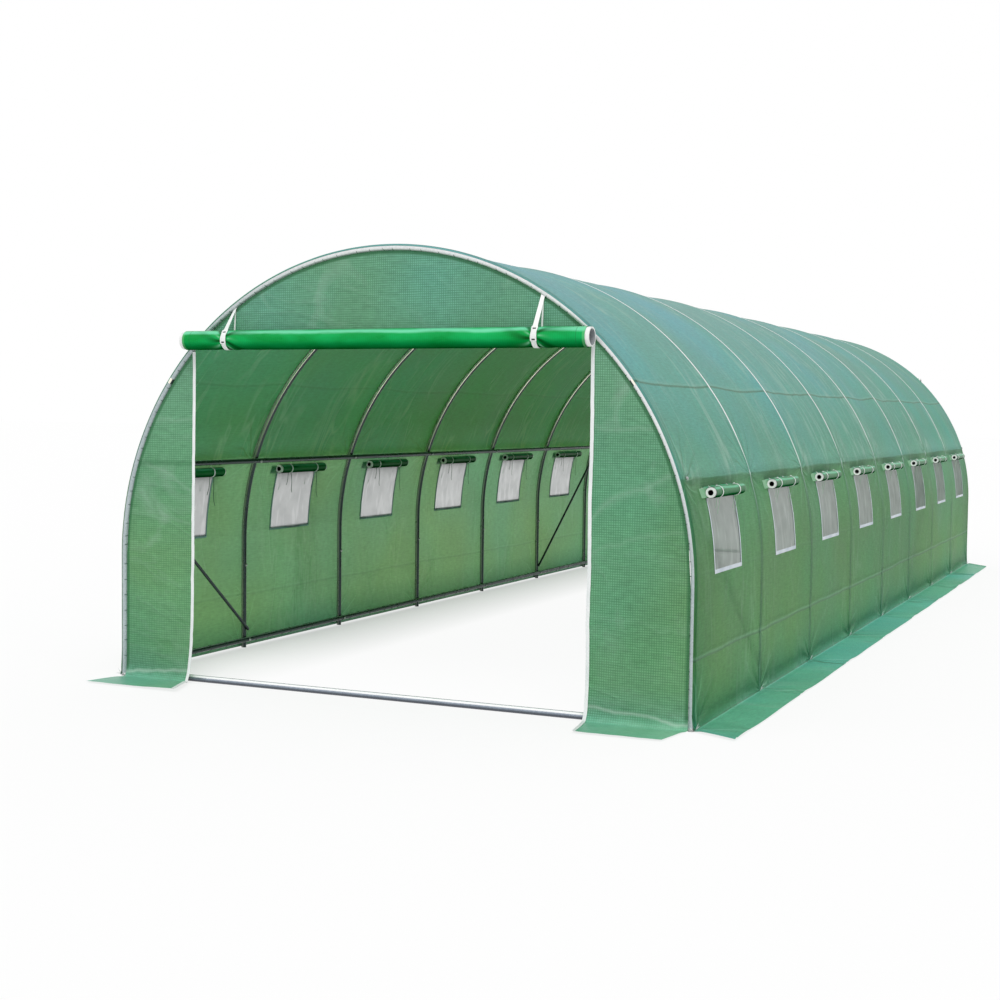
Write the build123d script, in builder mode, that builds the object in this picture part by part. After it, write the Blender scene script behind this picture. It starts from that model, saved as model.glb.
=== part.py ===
from build123d import *
from math import acos, asin, atan2, cos, degrees, hypot, radians, sin
import os

# A walk-in polytunnel: nine steel hoops under a green cover, a roll-up door at each end.
# Millimetres, +Z up, origin on the ground at the middle of the tunnel, the front door towards -Y.

# Driving dimensions of the frame
bay_count = 8
bay_length = 1250
hoop_radius = 1738
leg_height = 715
hoop_tube_d = 32
rail_tube_d = 32
side_rail_over_flap = 18
ground_rail_z = 56
ground_bar_d = 38
brace_d = 20
brace_foot_z = 130
brace_head_rise = 400
brace_end_inset = 9
brace_overrun = 14
middle_braced_bay_from_rear = 3

# Driving dimensions of the cover
sheet_thickness = 2
clearance = 0.3
side_skirt_width = 243.7
end_skirt_width = 299
end_skirt_flare = 58
skirt_front_lead = 100
skirt_rear_cut = 300

# Driving dimensions of the doorways and their rolled-up doors
door_middle_x = -30
door_half_width = 1212
door_head_over_corner = 4
door_roll_over_head = 20
door_roll_d = 108
door_core_d = 100
door_core_wall = 8
door_roll_inset = 15
door_core_end = 38
strap_width = 20
strap_thickness = 2
strap_inset = 275
strap_head_drop = 22

# Driving dimensions of the windows and their rolled-up flaps
window_width = 500
window_height = 385
window_rise = 50
window_shift = -50
flap_roll_d = 58
flap_core_d = 54
flap_core_bore = 27
flap_roll_length = 560
flap_roll_shift = 20
flap_core_end = 12

# Places worked out from them
half_length = bay_count * bay_length / 2
hoop_ys = [i * bay_length - half_length for i in range(bay_count + 1)]
bay_ys = [(a + b) / 2 for a, b in zip(hoop_ys, hoop_ys[1:])]
window_ys = [y + window_shift for y in bay_ys]
braced_bays = {
    "front_braces": 0,
    "middle_braces": bay_count - middle_braced_bay_from_rear,
    "rear_braces": bay_count - 1,
}
hoop_tube_r = hoop_tube_d / 2
rail_tube_r = rail_tube_d / 2
cover_inner_r = hoop_radius + hoop_tube_r + clearance
cover_outer_r = cover_inner_r + sheet_thickness
end_wall_r = hoop_radius - hoop_tube_r - clearance
end_wall_front = half_length + sheet_thickness / 2
rail_end_y = half_length - sheet_thickness / 2 - clearance
rail_ring_r = hoop_radius - hoop_tube_r - rail_tube_r - clearance
window_z = leg_height + window_rise + window_height / 2
flap_rise = window_rise + window_height + flap_roll_d / 2
side_rail_rise = flap_rise + flap_roll_d / 2 + side_rail_over_flap + rail_tube_r
side_rail_angle = degrees(asin(side_rail_rise / rail_ring_r))
eaves_z = leg_height + hoop_radius * sin(radians(side_rail_angle))
door_corner_z = leg_height + (end_wall_r**2 - door_half_width**2) ** 0.5
door_head_z = door_corner_z + door_head_over_corner
door_roll_z = door_head_z + door_roll_over_head
door_roll_half_length = door_half_width - door_roll_inset
strap_reach = door_half_width - strap_inset
door_roll_y = half_length + hoop_tube_r + 2 * clearance + strap_thickness + door_roll_d / 2

os.makedirs("parts", exist_ok=True)


def save(piece, name):
    """Names a finished piece and writes it as one STEP file."""
    piece.part.label = name
    export_step(piece.part, f"parts/{name}.step")


def across(y):
    """The plane across the tunnel at y, seen from the front: sketch X is X, sketch Y is Z."""
    return Plane(origin=(0, y, 0), x_dir=(1, 0, 0), z_dir=(0, -1, 0))


def on_ring(radius, angle):
    """The point (x, z) on a ring round the centre of the hoops' bend, on the right."""
    return radius * cos(radians(angle)), leg_height + radius * sin(radians(angle))


def arch_face(radius, mode=Mode.ADD):
    """The outline of a hoop filled in: two legs and a half circle, down to the ground."""
    with BuildLine() as outline:
        Line((-radius, 0), (-radius, leg_height))
        ThreePointArc((-radius, leg_height), (0, leg_height + radius), (radius, leg_height))
        Line((radius, leg_height), (radius, 0))
        Line((radius, 0), (-radius, 0))
    make_face(outline.edges(), mode=mode)


def arch_shell_face():
    """The section of the cover, a sheet bent over the hoops."""
    arch_face(cover_outer_r)
    arch_face(cover_inner_r, mode=Mode.SUBTRACT)


# Hoops, each one bent tube with its two legs on the ground
for number, y in enumerate(hoop_ys, start=1):
    with BuildPart() as hoop:
        with BuildLine(across(y)) as bend:
            Line((-hoop_radius, 0), (-hoop_radius, leg_height))
            ThreePointArc((-hoop_radius, leg_height), (0, leg_height + hoop_radius), (hoop_radius, leg_height))
            Line((hoop_radius, leg_height), (hoop_radius, 0))
        with BuildSketch(Plane(origin=(-hoop_radius, y, 0), z_dir=(0, 0, 1))):
            Circle(hoop_tube_r)
        sweep(path=bend.wires()[0])
    save(hoop, f"hoop_{number}")


# Rails that run the length of the tunnel, just inside the hoops
side_rail_x, side_rail_z = on_ring(rail_ring_r, side_rail_angle)
ridge_z = leg_height + rail_ring_r
rail_places = {
    "side_rail_left": (-side_rail_x, side_rail_z),
    "side_rail_right": (side_rail_x, side_rail_z),
    "ridge_pole": (0, ridge_z),
    "ground_rail_left": (-rail_ring_r, ground_rail_z),
    "ground_rail_right": (rail_ring_r, ground_rail_z),
}
for name, place in rail_places.items():
    with BuildPart() as rail:
        with BuildSketch(across(-rail_end_y)):
            with Locations(place):
                Circle(rail_tube_r)
        extrude(amount=-2 * rail_end_y)
    save(rail, name)


# Bars on the ground across each doorway, between the legs of the end hoops
bar_y = rail_end_y - ground_bar_d / 2
bar_half_length = hoop_radius - hoop_tube_r - clearance
for name, y in (("front_ground_bar", -bar_y), ("rear_ground_bar", bar_y)):
    with BuildPart() as bar:
        with BuildSketch(Plane(origin=(-bar_half_length, y, ground_bar_d / 2), z_dir=(1, 0, 0))):
            Circle(ground_bar_d / 2)
        extrude(amount=2 * bar_half_length)
    save(bar, name)


# Diagonal braces, from the foot of one hoop up to the haunch of the next, on both walls
brace_ring_r = hoop_radius - hoop_tube_r - brace_d / 2 - clearance
brace_head_x, brace_head_z = on_ring(brace_ring_r, degrees(asin(brace_head_rise / brace_ring_r)))
for name, bay in braced_bays.items():
    head_hoop, foot_hoop = (bay, bay + 1) if bay == 0 else (bay + 1, bay)
    towards_head = 1 if head_hoop > foot_hoop else -1
    foot_y = hoop_ys[foot_hoop]
    head_y = hoop_ys[head_hoop]
    if head_hoop in (0, bay_count):
        head_y -= towards_head * brace_end_inset
    with BuildPart() as braces:
        for side in (-1, 1):
            foot = Vector(side * brace_ring_r, foot_y, brace_foot_z)
            head = Vector(side * brace_head_x, head_y, brace_head_z)
            along = (head - foot).normalized()
            start = foot - along * brace_overrun
            with BuildSketch(Plane(origin=start, z_dir=along)):
                Circle(brace_d / 2)
            extrude(amount=(head - start).length)
    save(braces, name)


# The cover over the top, between the two side rails
with BuildPart() as roof_cover:
    with BuildSketch(across(-half_length)):
        arch_shell_face()
        with Locations((0, eaves_z)):
            Rectangle(3 * cover_outer_r, 2 * eaves_z, align=(Align.CENTER, Align.MAX), mode=Mode.SUBTRACT)
    extrude(amount=-2 * half_length)
save(roof_cover, "roof_cover")


# The two side walls of the cover, each with a window in every bay, and the netting in the windows
for side, side_name in ((-1, "left"), (1, "right")):
    wall_middle_x = side * cover_outer_r
    with BuildPart() as wall:
        with BuildSketch(across(-half_length)):
            arch_shell_face()
            with Locations((wall_middle_x, 0)):
                Rectangle(cover_outer_r, eaves_z, align=(Align.CENTER, Align.MIN), mode=Mode.INTERSECT)
        extrude(amount=-2 * half_length)
        with Locations([(wall_middle_x, y, window_z) for y in window_ys]):
            Box(cover_outer_r, window_width, window_height, mode=Mode.SUBTRACT)
    save(wall, f"{side_name}_wall_cover")

    with BuildPart() as nets:
        with BuildSketch(across(-half_length)):
            arch_shell_face()
            with Locations((wall_middle_x, 0)):
                Rectangle(cover_outer_r, eaves_z, align=(Align.CENTER, Align.MIN), mode=Mode.INTERSECT)
        extrude(amount=-2 * half_length)
        with Locations([(wall_middle_x, y, window_z) for y in window_ys]):
            Box(cover_outer_r, window_width, window_height, mode=Mode.INTERSECT)
    save(nets, f"window_nets_{side_name}")


# Window flaps, rolled up on their cores above each window, outside and inside the wall
outer_flap_r = cover_outer_r + clearance + flap_roll_d / 2
inner_flap_r = cover_inner_r - clearance - flap_roll_d / 2
flap_places = []
for ring_r in (outer_flap_r, inner_flap_r):
    flap_angle = degrees(asin(flap_rise / ring_r))
    flap_places.append(on_ring(ring_r, flap_angle))
flap_core_length = flap_roll_length + 2 * flap_core_end
for side, side_name in ((-1, "left"), (1, "right")):
    with BuildPart() as flaps:
        for y in window_ys:
            with BuildSketch(across(y + flap_roll_shift - flap_roll_length / 2)):
                with Locations([(side * x, z) for x, z in flap_places]):
                    Circle(flap_roll_d / 2)
                    Circle(flap_core_d / 2, mode=Mode.SUBTRACT)
            extrude(amount=-flap_roll_length)
    save(flaps, f"window_flaps_{side_name}")

    with BuildPart() as cores:
        for y in window_ys:
            with BuildSketch(across(y + flap_roll_shift - flap_core_length / 2)):
                with Locations([(side * x, z) for x, z in flap_places]):
                    Circle(flap_core_d / 2)
                    Circle(flap_core_bore / 2, mode=Mode.SUBTRACT)
            extrude(amount=-flap_core_length)
    save(cores, f"window_flap_cores_{side_name}")


# Ground skirts along the two sides, lying outwards from the foot of each wall
for side, side_name in ((-1, "left"), (1, "right")):
    near_x = side * cover_outer_r
    far_x = side * (cover_outer_r + side_skirt_width)
    with BuildPart() as skirt:
        with BuildSketch(Plane.XY):
            with BuildLine():
                Polyline(
                    (near_x, -half_length),
                    (far_x, -half_length - skirt_front_lead),
                    (far_x, half_length - skirt_rear_cut),
                    (near_x, half_length),
                    close=True,
                )
            make_face()
        extrude(amount=sheet_thickness)
    save(skirt, f"{side_name}_skirt")


def belt_face(centre_a, radius_a, centre_b, radius_b, mode=Mode.ADD):
    """Two circles with a belt pulled round them, filled in: two arcs and the two straight runs between."""
    across_y = centre_b[0] - centre_a[0]
    across_z = centre_b[1] - centre_a[1]
    heading = atan2(across_z, across_y)
    spread = acos((radius_a - radius_b) / hypot(across_y, across_z))

    def rim(centre, radius, angle):
        return centre[0] + radius * cos(angle), centre[1] + radius * sin(angle)

    a_left = rim(centre_a, radius_a, heading + spread)
    a_right = rim(centre_a, radius_a, heading - spread)
    b_left = rim(centre_b, radius_b, heading + spread)
    b_right = rim(centre_b, radius_b, heading - spread)
    with BuildLine() as outline:
        ThreePointArc(a_left, rim(centre_a, radius_a, heading + radians(180)), a_right)
        Line(a_right, b_right)
        ThreePointArc(b_right, rim(centre_b, radius_b, heading), b_left)
        Line(b_left, a_left)
    make_face(outline.edges(), mode=mode)


# End walls: a gable over the doorway, a panel each side of it, their skirts and the rolled-up door
for end, end_name in ((-1, "front"), (1, "rear")):
    inner_face_y = end * (half_length - sheet_thickness / 2)
    outer_face_y = end * end_wall_front
    through = -end * sheet_thickness

    with BuildPart() as gable:
        with BuildSketch(across(inner_face_y)):
            arch_face(end_wall_r)
            Rectangle(3 * end_wall_r, 2 * door_head_z, mode=Mode.SUBTRACT)
        extrude(amount=through)
    save(gable, f"{end_name}_gable")

    for side, side_name in ((-1, "left"), (1, "right")):
        with BuildPart() as panel:
            with BuildSketch(across(inner_face_y)):
                arch_face(end_wall_r)
                with Locations((door_middle_x + side * door_half_width, 0)):
                    Rectangle(
                        end_wall_r,
                        door_head_z,
                        align=(Align.MAX if side < 0 else Align.MIN, Align.MIN),
                        mode=Mode.INTERSECT,
                    )
            extrude(amount=through)
        save(panel, f"{end_name}_panel_{side_name}")

    far_y = outer_face_y + end * end_skirt_width
    with BuildPart() as skirts:
        with BuildSketch(Plane.XY):
            for side in (-1, 1):
                with BuildLine():
                    Polyline(
                        (door_middle_x + side * door_half_width, outer_face_y),
                        (side * end_wall_r, outer_face_y),
                        (side * (end_wall_r + end_skirt_flare), far_y),
                        (door_middle_x + side * door_half_width, far_y),
                        close=True,
                    )
                make_face()
        extrude(amount=sheet_thickness)
    save(skirts, f"{end_name}_skirts")

    # The door sheet wound on its core, and the core that shows at both ends
    roll_y = end * door_roll_y
    core_half_length = door_roll_half_length + door_core_end
    with BuildPart() as door_roll:
        with BuildSketch(Plane(origin=(door_middle_x - door_roll_half_length, roll_y, door_roll_z), z_dir=(1, 0, 0))):
            Circle(door_roll_d / 2)
            Circle(door_core_d / 2, mode=Mode.SUBTRACT)
        extrude(amount=2 * door_roll_half_length)
    save(door_roll, f"{end_name}_door_roll")

    with BuildPart() as door_core:
        with BuildSketch(Plane(origin=(door_middle_x - core_half_length, roll_y, door_roll_z), z_dir=(1, 0, 0))):
            Circle(door_core_d / 2)
            Circle(door_core_d / 2 - door_core_wall, mode=Mode.SUBTRACT)
        extrude(amount=2 * core_half_length)
    save(door_core, f"{end_name}_door_core")

    # Straps that hang from the gable under the hoop, and hold the roll
    loop_r = 1.5
    head_y = end * (end_wall_front + clearance + strap_thickness + loop_r)
    roll_centre = (roll_y, door_roll_z)
    snug_r = door_roll_d / 2 + clearance
    with BuildPart() as straps:
        for side in (-1, 1):
            strap_x = door_middle_x + side * strap_reach
            strap_outer_x = abs(strap_x) + strap_width / 2
            hoop_over_strap = leg_height + (end_wall_r**2 - strap_outer_x**2) ** 0.5
            head = (head_y, hoop_over_strap - strap_head_drop)
            start_x = strap_x - strap_width / 2
            with BuildSketch(Plane(origin=(start_x, 0, 0), x_dir=(0, 1, 0), z_dir=(1, 0, 0))):
                belt_face(roll_centre, snug_r + strap_thickness, head, loop_r + strap_thickness)
                belt_face(roll_centre, snug_r, head, loop_r, mode=Mode.SUBTRACT)
            extrude(amount=strap_width)
    save(straps, f"{end_name}_door_straps")
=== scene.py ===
import math
import random

import bpy
from mathutils import Matrix, Vector, noise


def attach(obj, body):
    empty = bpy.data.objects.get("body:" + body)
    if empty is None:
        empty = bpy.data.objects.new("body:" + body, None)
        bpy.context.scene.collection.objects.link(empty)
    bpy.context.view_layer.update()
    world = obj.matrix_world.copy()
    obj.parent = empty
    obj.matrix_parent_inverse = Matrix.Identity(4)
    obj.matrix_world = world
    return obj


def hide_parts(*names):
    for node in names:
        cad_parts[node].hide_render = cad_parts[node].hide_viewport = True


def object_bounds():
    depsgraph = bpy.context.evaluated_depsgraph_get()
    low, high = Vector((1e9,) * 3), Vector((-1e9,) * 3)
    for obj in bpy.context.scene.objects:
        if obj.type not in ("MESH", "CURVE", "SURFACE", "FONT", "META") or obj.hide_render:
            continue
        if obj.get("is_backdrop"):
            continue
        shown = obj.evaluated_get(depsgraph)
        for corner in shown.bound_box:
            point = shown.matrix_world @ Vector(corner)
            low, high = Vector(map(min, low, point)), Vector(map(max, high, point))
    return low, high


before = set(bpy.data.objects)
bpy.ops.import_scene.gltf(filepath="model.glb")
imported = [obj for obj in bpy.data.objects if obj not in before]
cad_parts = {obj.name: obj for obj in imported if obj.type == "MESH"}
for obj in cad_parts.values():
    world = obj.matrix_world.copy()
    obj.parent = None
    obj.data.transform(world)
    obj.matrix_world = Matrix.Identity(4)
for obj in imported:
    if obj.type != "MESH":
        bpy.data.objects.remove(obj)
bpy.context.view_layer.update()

# Polytunnel greenhouse. Metres, +Z up, the front door towards -Y.

tunnel = {
    "halfLength": 5.0,
    "bay": 1.25,
    "hoopRadius": 1.738,
    "tubeRadius": 0.016,
    "legHeight": 0.715,
    "railRing": 1.7057,
    "railAngle": 18.0,
    "groundRailZ": 0.056,
}
hoopPlaces = [-tunnel["halfLength"] + tunnel["bay"] * i for i in range(9)]
windowPlaces = [(a + b) / 2 - 0.05 for a, b in zip(hoopPlaces, hoopPlaces[1:])]
sides = ((1, "right"), (-1, "left"))
ends = ((-1, "front"), (1, "rear"))
cover = {
    "radius": 1.7553,
    "roofSag": 0.006,
    "wallSag": 0.005,
    "hoopPinch": 0.0045,
    "wrap": 0.0173,
    "railFold": 0.008,
    "haunchZ": 1.72,
    "lowCreaseZ": 0.35,
    "windowLow": 0.765,
    "windowHigh": 1.15,
    "windowHalf": 0.25,
    "railSeamZ": 1.252,
    "skirt": 0.2437,
    # how far the skirt's edge runs past the end hoops: right and left at the front, and at the rear
    "skirtLead": {1: 0.115, -1: -0.34},
    "skirtCut": 0.30,
}


def alongArch(z):
    # length along the sheet from its foot up to height z
    leg = tunnel["legHeight"]
    if z <= leg:
        return z
    return leg + cover["radius"] * math.asin((z - leg) / cover["radius"])


aroundArch = 2 * tunnel["legHeight"] + math.pi * cover["radius"]
seamAlong = alongArch(cover["railSeamZ"])
haunchAlong = alongArch(cover["haunchZ"])
windowAlong = (alongArch(cover["windowLow"]), alongArch(cover["windowHigh"]))


# Selecting, shaping and finishing a piece

def clearSelection():
    if bpy.context.mode != "OBJECT":
        bpy.ops.object.mode_set(mode="OBJECT")
    bpy.ops.object.select_all(action="DESELECT")


def makeActive(piece):
    clearSelection()
    piece.select_set(True)
    bpy.context.view_layer.objects.active = piece


def pickFaces(piece, isWanted):
    # leaves the piece in edit mode with the wanted faces selected
    makeActive(piece)
    bpy.ops.object.mode_set(mode="EDIT")
    bpy.ops.mesh.select_mode(type="FACE")
    bpy.ops.mesh.select_all(action="DESELECT")
    bpy.ops.object.mode_set(mode="OBJECT")
    for face in piece.data.polygons:
        face.select = isWanted(face)
    bpy.ops.object.mode_set(mode="EDIT")


def deleteFaces(piece, isWanted):
    pickFaces(piece, isWanted)
    bpy.ops.mesh.delete(type="FACE")
    bpy.ops.object.mode_set(mode="OBJECT")


def makeGrid(name, columns, rows, place, isHole=None, mapTo=None):
    # each grid vertex goes to place(column, row), and the UV map keeps column and row in metres
    across, up = len(columns) - 1, len(rows) - 1
    clearSelection()
    bpy.ops.mesh.primitive_grid_add(x_subdivisions=across, y_subdivisions=up, size=2)
    piece = bpy.context.object
    piece.name = piece.data.name = name

    def findSpots():
        return [
            (columns[round((v.co.x + 1) / 2 * across)], rows[round((v.co.y + 1) / 2 * up)])
            for v in piece.data.vertices
        ]

    spots = findSpots()
    if isHole:

        def inHole(face):
            corners = [spots[v] for v in face.vertices]
            return isHole(*(sum(c[k] for c in corners) / len(corners) for k in (0, 1)))

        deleteFaces(piece, inHole)
        spots = findSpots()
    uvMap = piece.data.uv_layers.active
    for loop in piece.data.loops:
        spot = spots[loop.vertex_index]
        uvMap.data[loop.index].uv = mapTo(*spot) if mapTo else spot
    for vertex, spot in zip(piece.data.vertices, spots):
        vertex.co = place(*spot)
    piece.data.update()
    return piece


def applyModifier(piece, kind, **settings):
    makeActive(piece)
    modifier = piece.modifiers.new(kind.lower(), kind)
    for key, value in settings.items():
        setattr(modifier, key, value)
    bpy.ops.object.modifier_apply(modifier=modifier.name)


def thicken(piece, thickness):
    applyModifier(piece, "SOLIDIFY", thickness=thickness, offset=0.0)


def smooth(piece, degrees):
    makeActive(piece)
    bpy.ops.object.shade_smooth_by_angle(angle=math.radians(degrees))


def joinPieces(name, pieces):
    clearSelection()
    for piece in pieces:
        piece.select_set(True)
    bpy.context.view_layer.objects.active = pieces[0]
    if len(pieces) > 1:
        bpy.ops.object.join()
    joined = bpy.context.object
    joined.name = joined.data.name = name
    return joined


def copyTo(model, name, matrix):
    piece = model.copy()
    piece.data = model.data.copy()
    piece.name = name
    bpy.context.collection.objects.link(piece)
    piece.data.transform(matrix)
    return piece


def dropModels(*models):
    for model in models:
        bpy.data.objects.remove(model)


def settle(piece):
    # the place goes into the mesh, and the object sits at the origin
    makeActive(piece)
    bpy.ops.object.transform_apply(location=True, rotation=True, scale=True)


def outwardNormals(piece):
    makeActive(piece)
    bpy.ops.object.mode_set(mode="EDIT")
    bpy.ops.mesh.select_all(action="SELECT")
    bpy.ops.mesh.remove_doubles(threshold=0.00001)
    bpy.ops.mesh.normals_make_consistent(inside=False)
    bpy.ops.object.mode_set(mode="OBJECT")


def finishPiece(piece, degrees, material, slot, *nodes):
    # degrees is the angle up to which edges are shaded smooth, or None
    if degrees:
        smooth(piece, degrees)
    piece.data.materials.append(material)
    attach(piece, "root")
    if nodes:
        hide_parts(*nodes)
    return piece


def within(value, low=0.0, high=1.0):
    return min(max(value, low), high)


def soft(value, bend):
    # 0 below, value above, with a rounded bend between
    return (value + math.sqrt(value * value + 4 * bend * bend)) / 2


def bell(value, width):
    return math.exp(-((value / width) ** 2))


def ripple(x, y, z=0.0):
    return noise.noise(Vector((x, y, z)))


# Camera, where the photo was taken from

view = {
    "place": (3.981, -12.354, 1.57),
    "yaw": 24.196,
    "pitch": -3.199,
    "roll": 0.716,
    "focalPixels": 1544.5,
    "framePixels": 1000,
}


def makeCamera():
    yaw, pitch, roll = (math.radians(view[k]) for k in ("yaw", "pitch", "roll"))
    ahead = Vector((-math.sin(yaw) * math.cos(pitch), math.cos(yaw) * math.cos(pitch), math.sin(pitch)))
    level = ahead.cross(Vector((0, 0, 1))).normalized()
    above = level.cross(ahead)
    right = level * math.cos(roll) + above * math.sin(roll)
    up = above * math.cos(roll) - level * math.sin(roll)
    data = bpy.data.cameras.new("camera")
    camera = bpy.data.objects.new("camera", data)
    bpy.context.collection.objects.link(camera)
    data.sensor_width = 36
    data.lens = view["focalPixels"] / view["framePixels"] * data.sensor_width
    data.clip_end = 300
    turn = Matrix((right, up, -ahead)).transposed().to_4x4()
    camera.matrix_world = Matrix.Translation(Vector(view["place"])) @ turn
    bpy.context.scene.camera = camera


makeCamera()
print("camera set")


# Shader values: sums and products of them are math nodes in the same tree

class Signal:
    def __init__(self, socket):
        self.socket = socket
        self.tree = socket.id_data

    def __add__(self, other):
        return calc("ADD", self, other)

    def __sub__(self, other):
        return calc("SUBTRACT", self, other)

    def __rsub__(self, other):
        return calc("SUBTRACT", other, self)

    def __mul__(self, other):
        return calc("MULTIPLY", self, other)

    def __truediv__(self, other):
        return calc("DIVIDE", self, other)

    def __abs__(self):
        return calc("ABSOLUTE", self)

    def clamp(self):
        self.socket.node.use_clamp = True
        return self


def feed(node, inputs):
    for key, value in inputs.items():
        socket = node.inputs[key]
        if isinstance(value, Signal):
            value.tree.links.new(value.socket, socket)
        elif socket.type == "RGBA" and len(value) == 3:
            socket.default_value = (*value, 1.0)
        else:
            socket.default_value = value


def addNode(kind, inputs, tree=None, **settings):
    tree = tree or next(v.tree for v in inputs.values() if isinstance(v, Signal))
    made = tree.nodes.new(kind)
    for key, value in settings.items():
        setattr(made, key, value)
    feed(made, inputs)
    return made


def calc(operation, *values):
    return Signal(addNode("ShaderNodeMath", dict(enumerate(values)), operation=operation).outputs[0])


def lengthOf(a, b):
    return calc("SQRT", a * a + b * b)


def lineAt(off, width, full=1.0):
    # full on a line, falling to 0 at the width
    return (full - off / width).clamp()


def spread(value, low, high, toLow=0.0, toHigh=1.0):
    made = addNode("ShaderNodeMapRange", {0: value, 1: low, 2: high, 3: toLow, 4: toHigh}, clamp=True)
    return Signal(made.outputs[0])


def cloud(place, scale, detail=2.0, **more):
    settings = {"noise_dimensions": "4D"} if "W" in more else {}
    made = addNode("ShaderNodeTexNoise", {"Vector": place, "Scale": scale, "Detail": detail, **more}, **settings)
    return Signal(made.outputs[0])


def mapped(place, **more):
    return Signal(addNode("ShaderNodeMapping", {0: place, **more}).outputs[0])


def parts(place):
    return [Signal(s) for s in addNode("ShaderNodeSeparateXYZ", {0: place}).outputs]


def mix(share, a, b, blend="MIX"):
    return Signal(addNode("ShaderNodeMix", {0: share, 6: a, 7: b}, data_type="RGBA", blend_type=blend).outputs[2])


def tint(base, colour):
    return mix(1.0, base, colour, "MULTIPLY")


def tintBy(share, base, colour):
    return mix(share, base, tint(base, colour))


def rampOf(value, stops):
    made = addNode("ShaderNodeValToRGB", {0: value})
    ramp = made.color_ramp
    while len(ramp.elements) < len(stops):
        ramp.elements.new(0.5)
    for element, (place, colour) in zip(ramp.elements, sorted(stops)):
        element.position = place
        element.color = (*colour, 1.0)
    return Signal(made.outputs[0])


def bumped(height, strength, distance):
    made = addNode("ShaderNodeBump", {"Height": height, "Strength": strength, "Distance": distance})
    return Signal(made.outputs[0])


def turnedTo(tree, direction, low, high):
    # 0 to 1 as the surface turns towards a direction
    normal = Signal(addNode("ShaderNodeNewGeometry", {}, tree).outputs["Normal"])
    toward = Vector(direction).normalized()
    along = addNode("ShaderNodeVectorMath", {0: normal, 1: toward}, operation="DOT_PRODUCT")
    return spread(Signal(along.outputs["Value"]), low, high)


def startGroup(name, inputs, outputs):
    # an input is a vector without a value, a number or a colour
    tree = bpy.data.node_groups.new(name, "ShaderNodeTree")
    for title, value in inputs.items():
        kind = "Vector" if value is None else "Float" if isinstance(value, float) else "Color"
        socket = tree.interface.new_socket(title, in_out="INPUT", socket_type=f"NodeSocket{kind}")
        if value is not None:
            socket.default_value = value
    for title, kind in outputs.items():
        tree.interface.new_socket(title, in_out="OUTPUT", socket_type=f"NodeSocket{kind}")
    entry = tree.nodes.new("NodeGroupInput")
    return {s.name: Signal(s) for s in entry.outputs if s.name}, tree.nodes.new("NodeGroupOutput")


def useGroup(name, inputs):
    tree = next(v.tree for v in inputs.values() if isinstance(v, Signal))
    made = tree.nodes.new("ShaderNodeGroup")
    made.node_tree = bpy.data.node_groups[name]
    feed(made, inputs)
    return {s.name: Signal(s) for s in made.outputs}


def startMaterial(name):
    # the material, its shader, and the places that patterns follow: in the room, and on the sheet
    material = bpy.data.materials.new(name)
    material.use_nodes = True
    place = addNode("ShaderNodeTexCoord", {}, material.node_tree)
    shader = material.node_tree.nodes["Principled BSDF"]
    return material, shader, Signal(place.outputs["Object"]), Signal(place.outputs["UV"])


def mixShader(shader, share, kind, inputs):
    # a second shader shows on its share of the surface
    tree = shader.id_data
    other = addNode(kind, inputs, tree)
    mixed = addNode("ShaderNodeMixShader", {0: share, 1: Signal(shader.outputs[0]), 2: Signal(other.outputs[0])})
    feed(tree.nodes["Material Output"], {"Surface": Signal(mixed.outputs[0])})


def letThrough(shader, share, colour, **more):
    # daylight passes the thin sheet: part of it shows on the far side
    mixShader(shader, share, "ShaderNodeBsdfTranslucent", {"Color": colour, **more})


def paint(red, green, blue):
    # screen values 0 to 255 as the linear colour that a shader takes
    def linear(value):
        value /= 255
        return value / 12.92 if value <= 0.04045 else ((value + 0.055) / 1.055) ** 2.4
    return (linear(red), linear(green), linear(blue), 1.0)


# Threads of the reinforced sheet, a square grid in metres of the sheet

def makeThreadGroup():
    entry, leave = startGroup(
        "sheetThreads", {"Place": None, "Pitch": 0.012, "Thread": 0.3}, {"Threads": "Float", "Height": "Float"}
    )
    drift = (cloud(entry["Place"], 3.0, 1.0) - 0.5) * 0.012
    lines = []
    for part in parts(entry["Place"])[:2]:
        off = calc("PINGPONG", (part + drift) / entry["Pitch"], 0.5)  # 0 on a thread, 0.5 between two
        lines.append(lineAt(off, entry["Thread"] * 0.5))
    feed(leave, {"Threads": calc("MAXIMUM", *lines), "Height": lines[0] + lines[1]})


# Painted highlight where the sheet is stretched over the inner hoops, with painted shade along the tube's edge and
# in the fold line beside each

def makeHoopLineGroup():
    entry, leave = startGroup(
        "overHoops",
        {"Place": None, "Bay": 1.25, "Reach": 4.7, "Width": 0.009},
        {"Line": "Float", "Edge": "Float", "Fold": "Float"},
    )
    along = parts(entry["Place"])[1]
    drift = (cloud(entry["Place"], 2.2) - 0.5) * 0.02
    half = entry["Bay"] * 0.5
    inner = calc("LESS_THAN", abs(along), entry["Reach"])
    feed(
        leave,
        {
            "Line": lineAt(calc("PINGPONG", along, half), entry["Width"], 1.5) * inner,
            "Edge": lineAt(calc("PINGPONG", along + 0.0135, half), 0.004) * inner,
            "Fold": lineAt(calc("PINGPONG", along + drift - 0.036, half), 0.006),
        },
    )


# Creases that fan out from a fixing on each hoop, at a given height, with masks for painted highlights and painted
# shade along them

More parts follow.
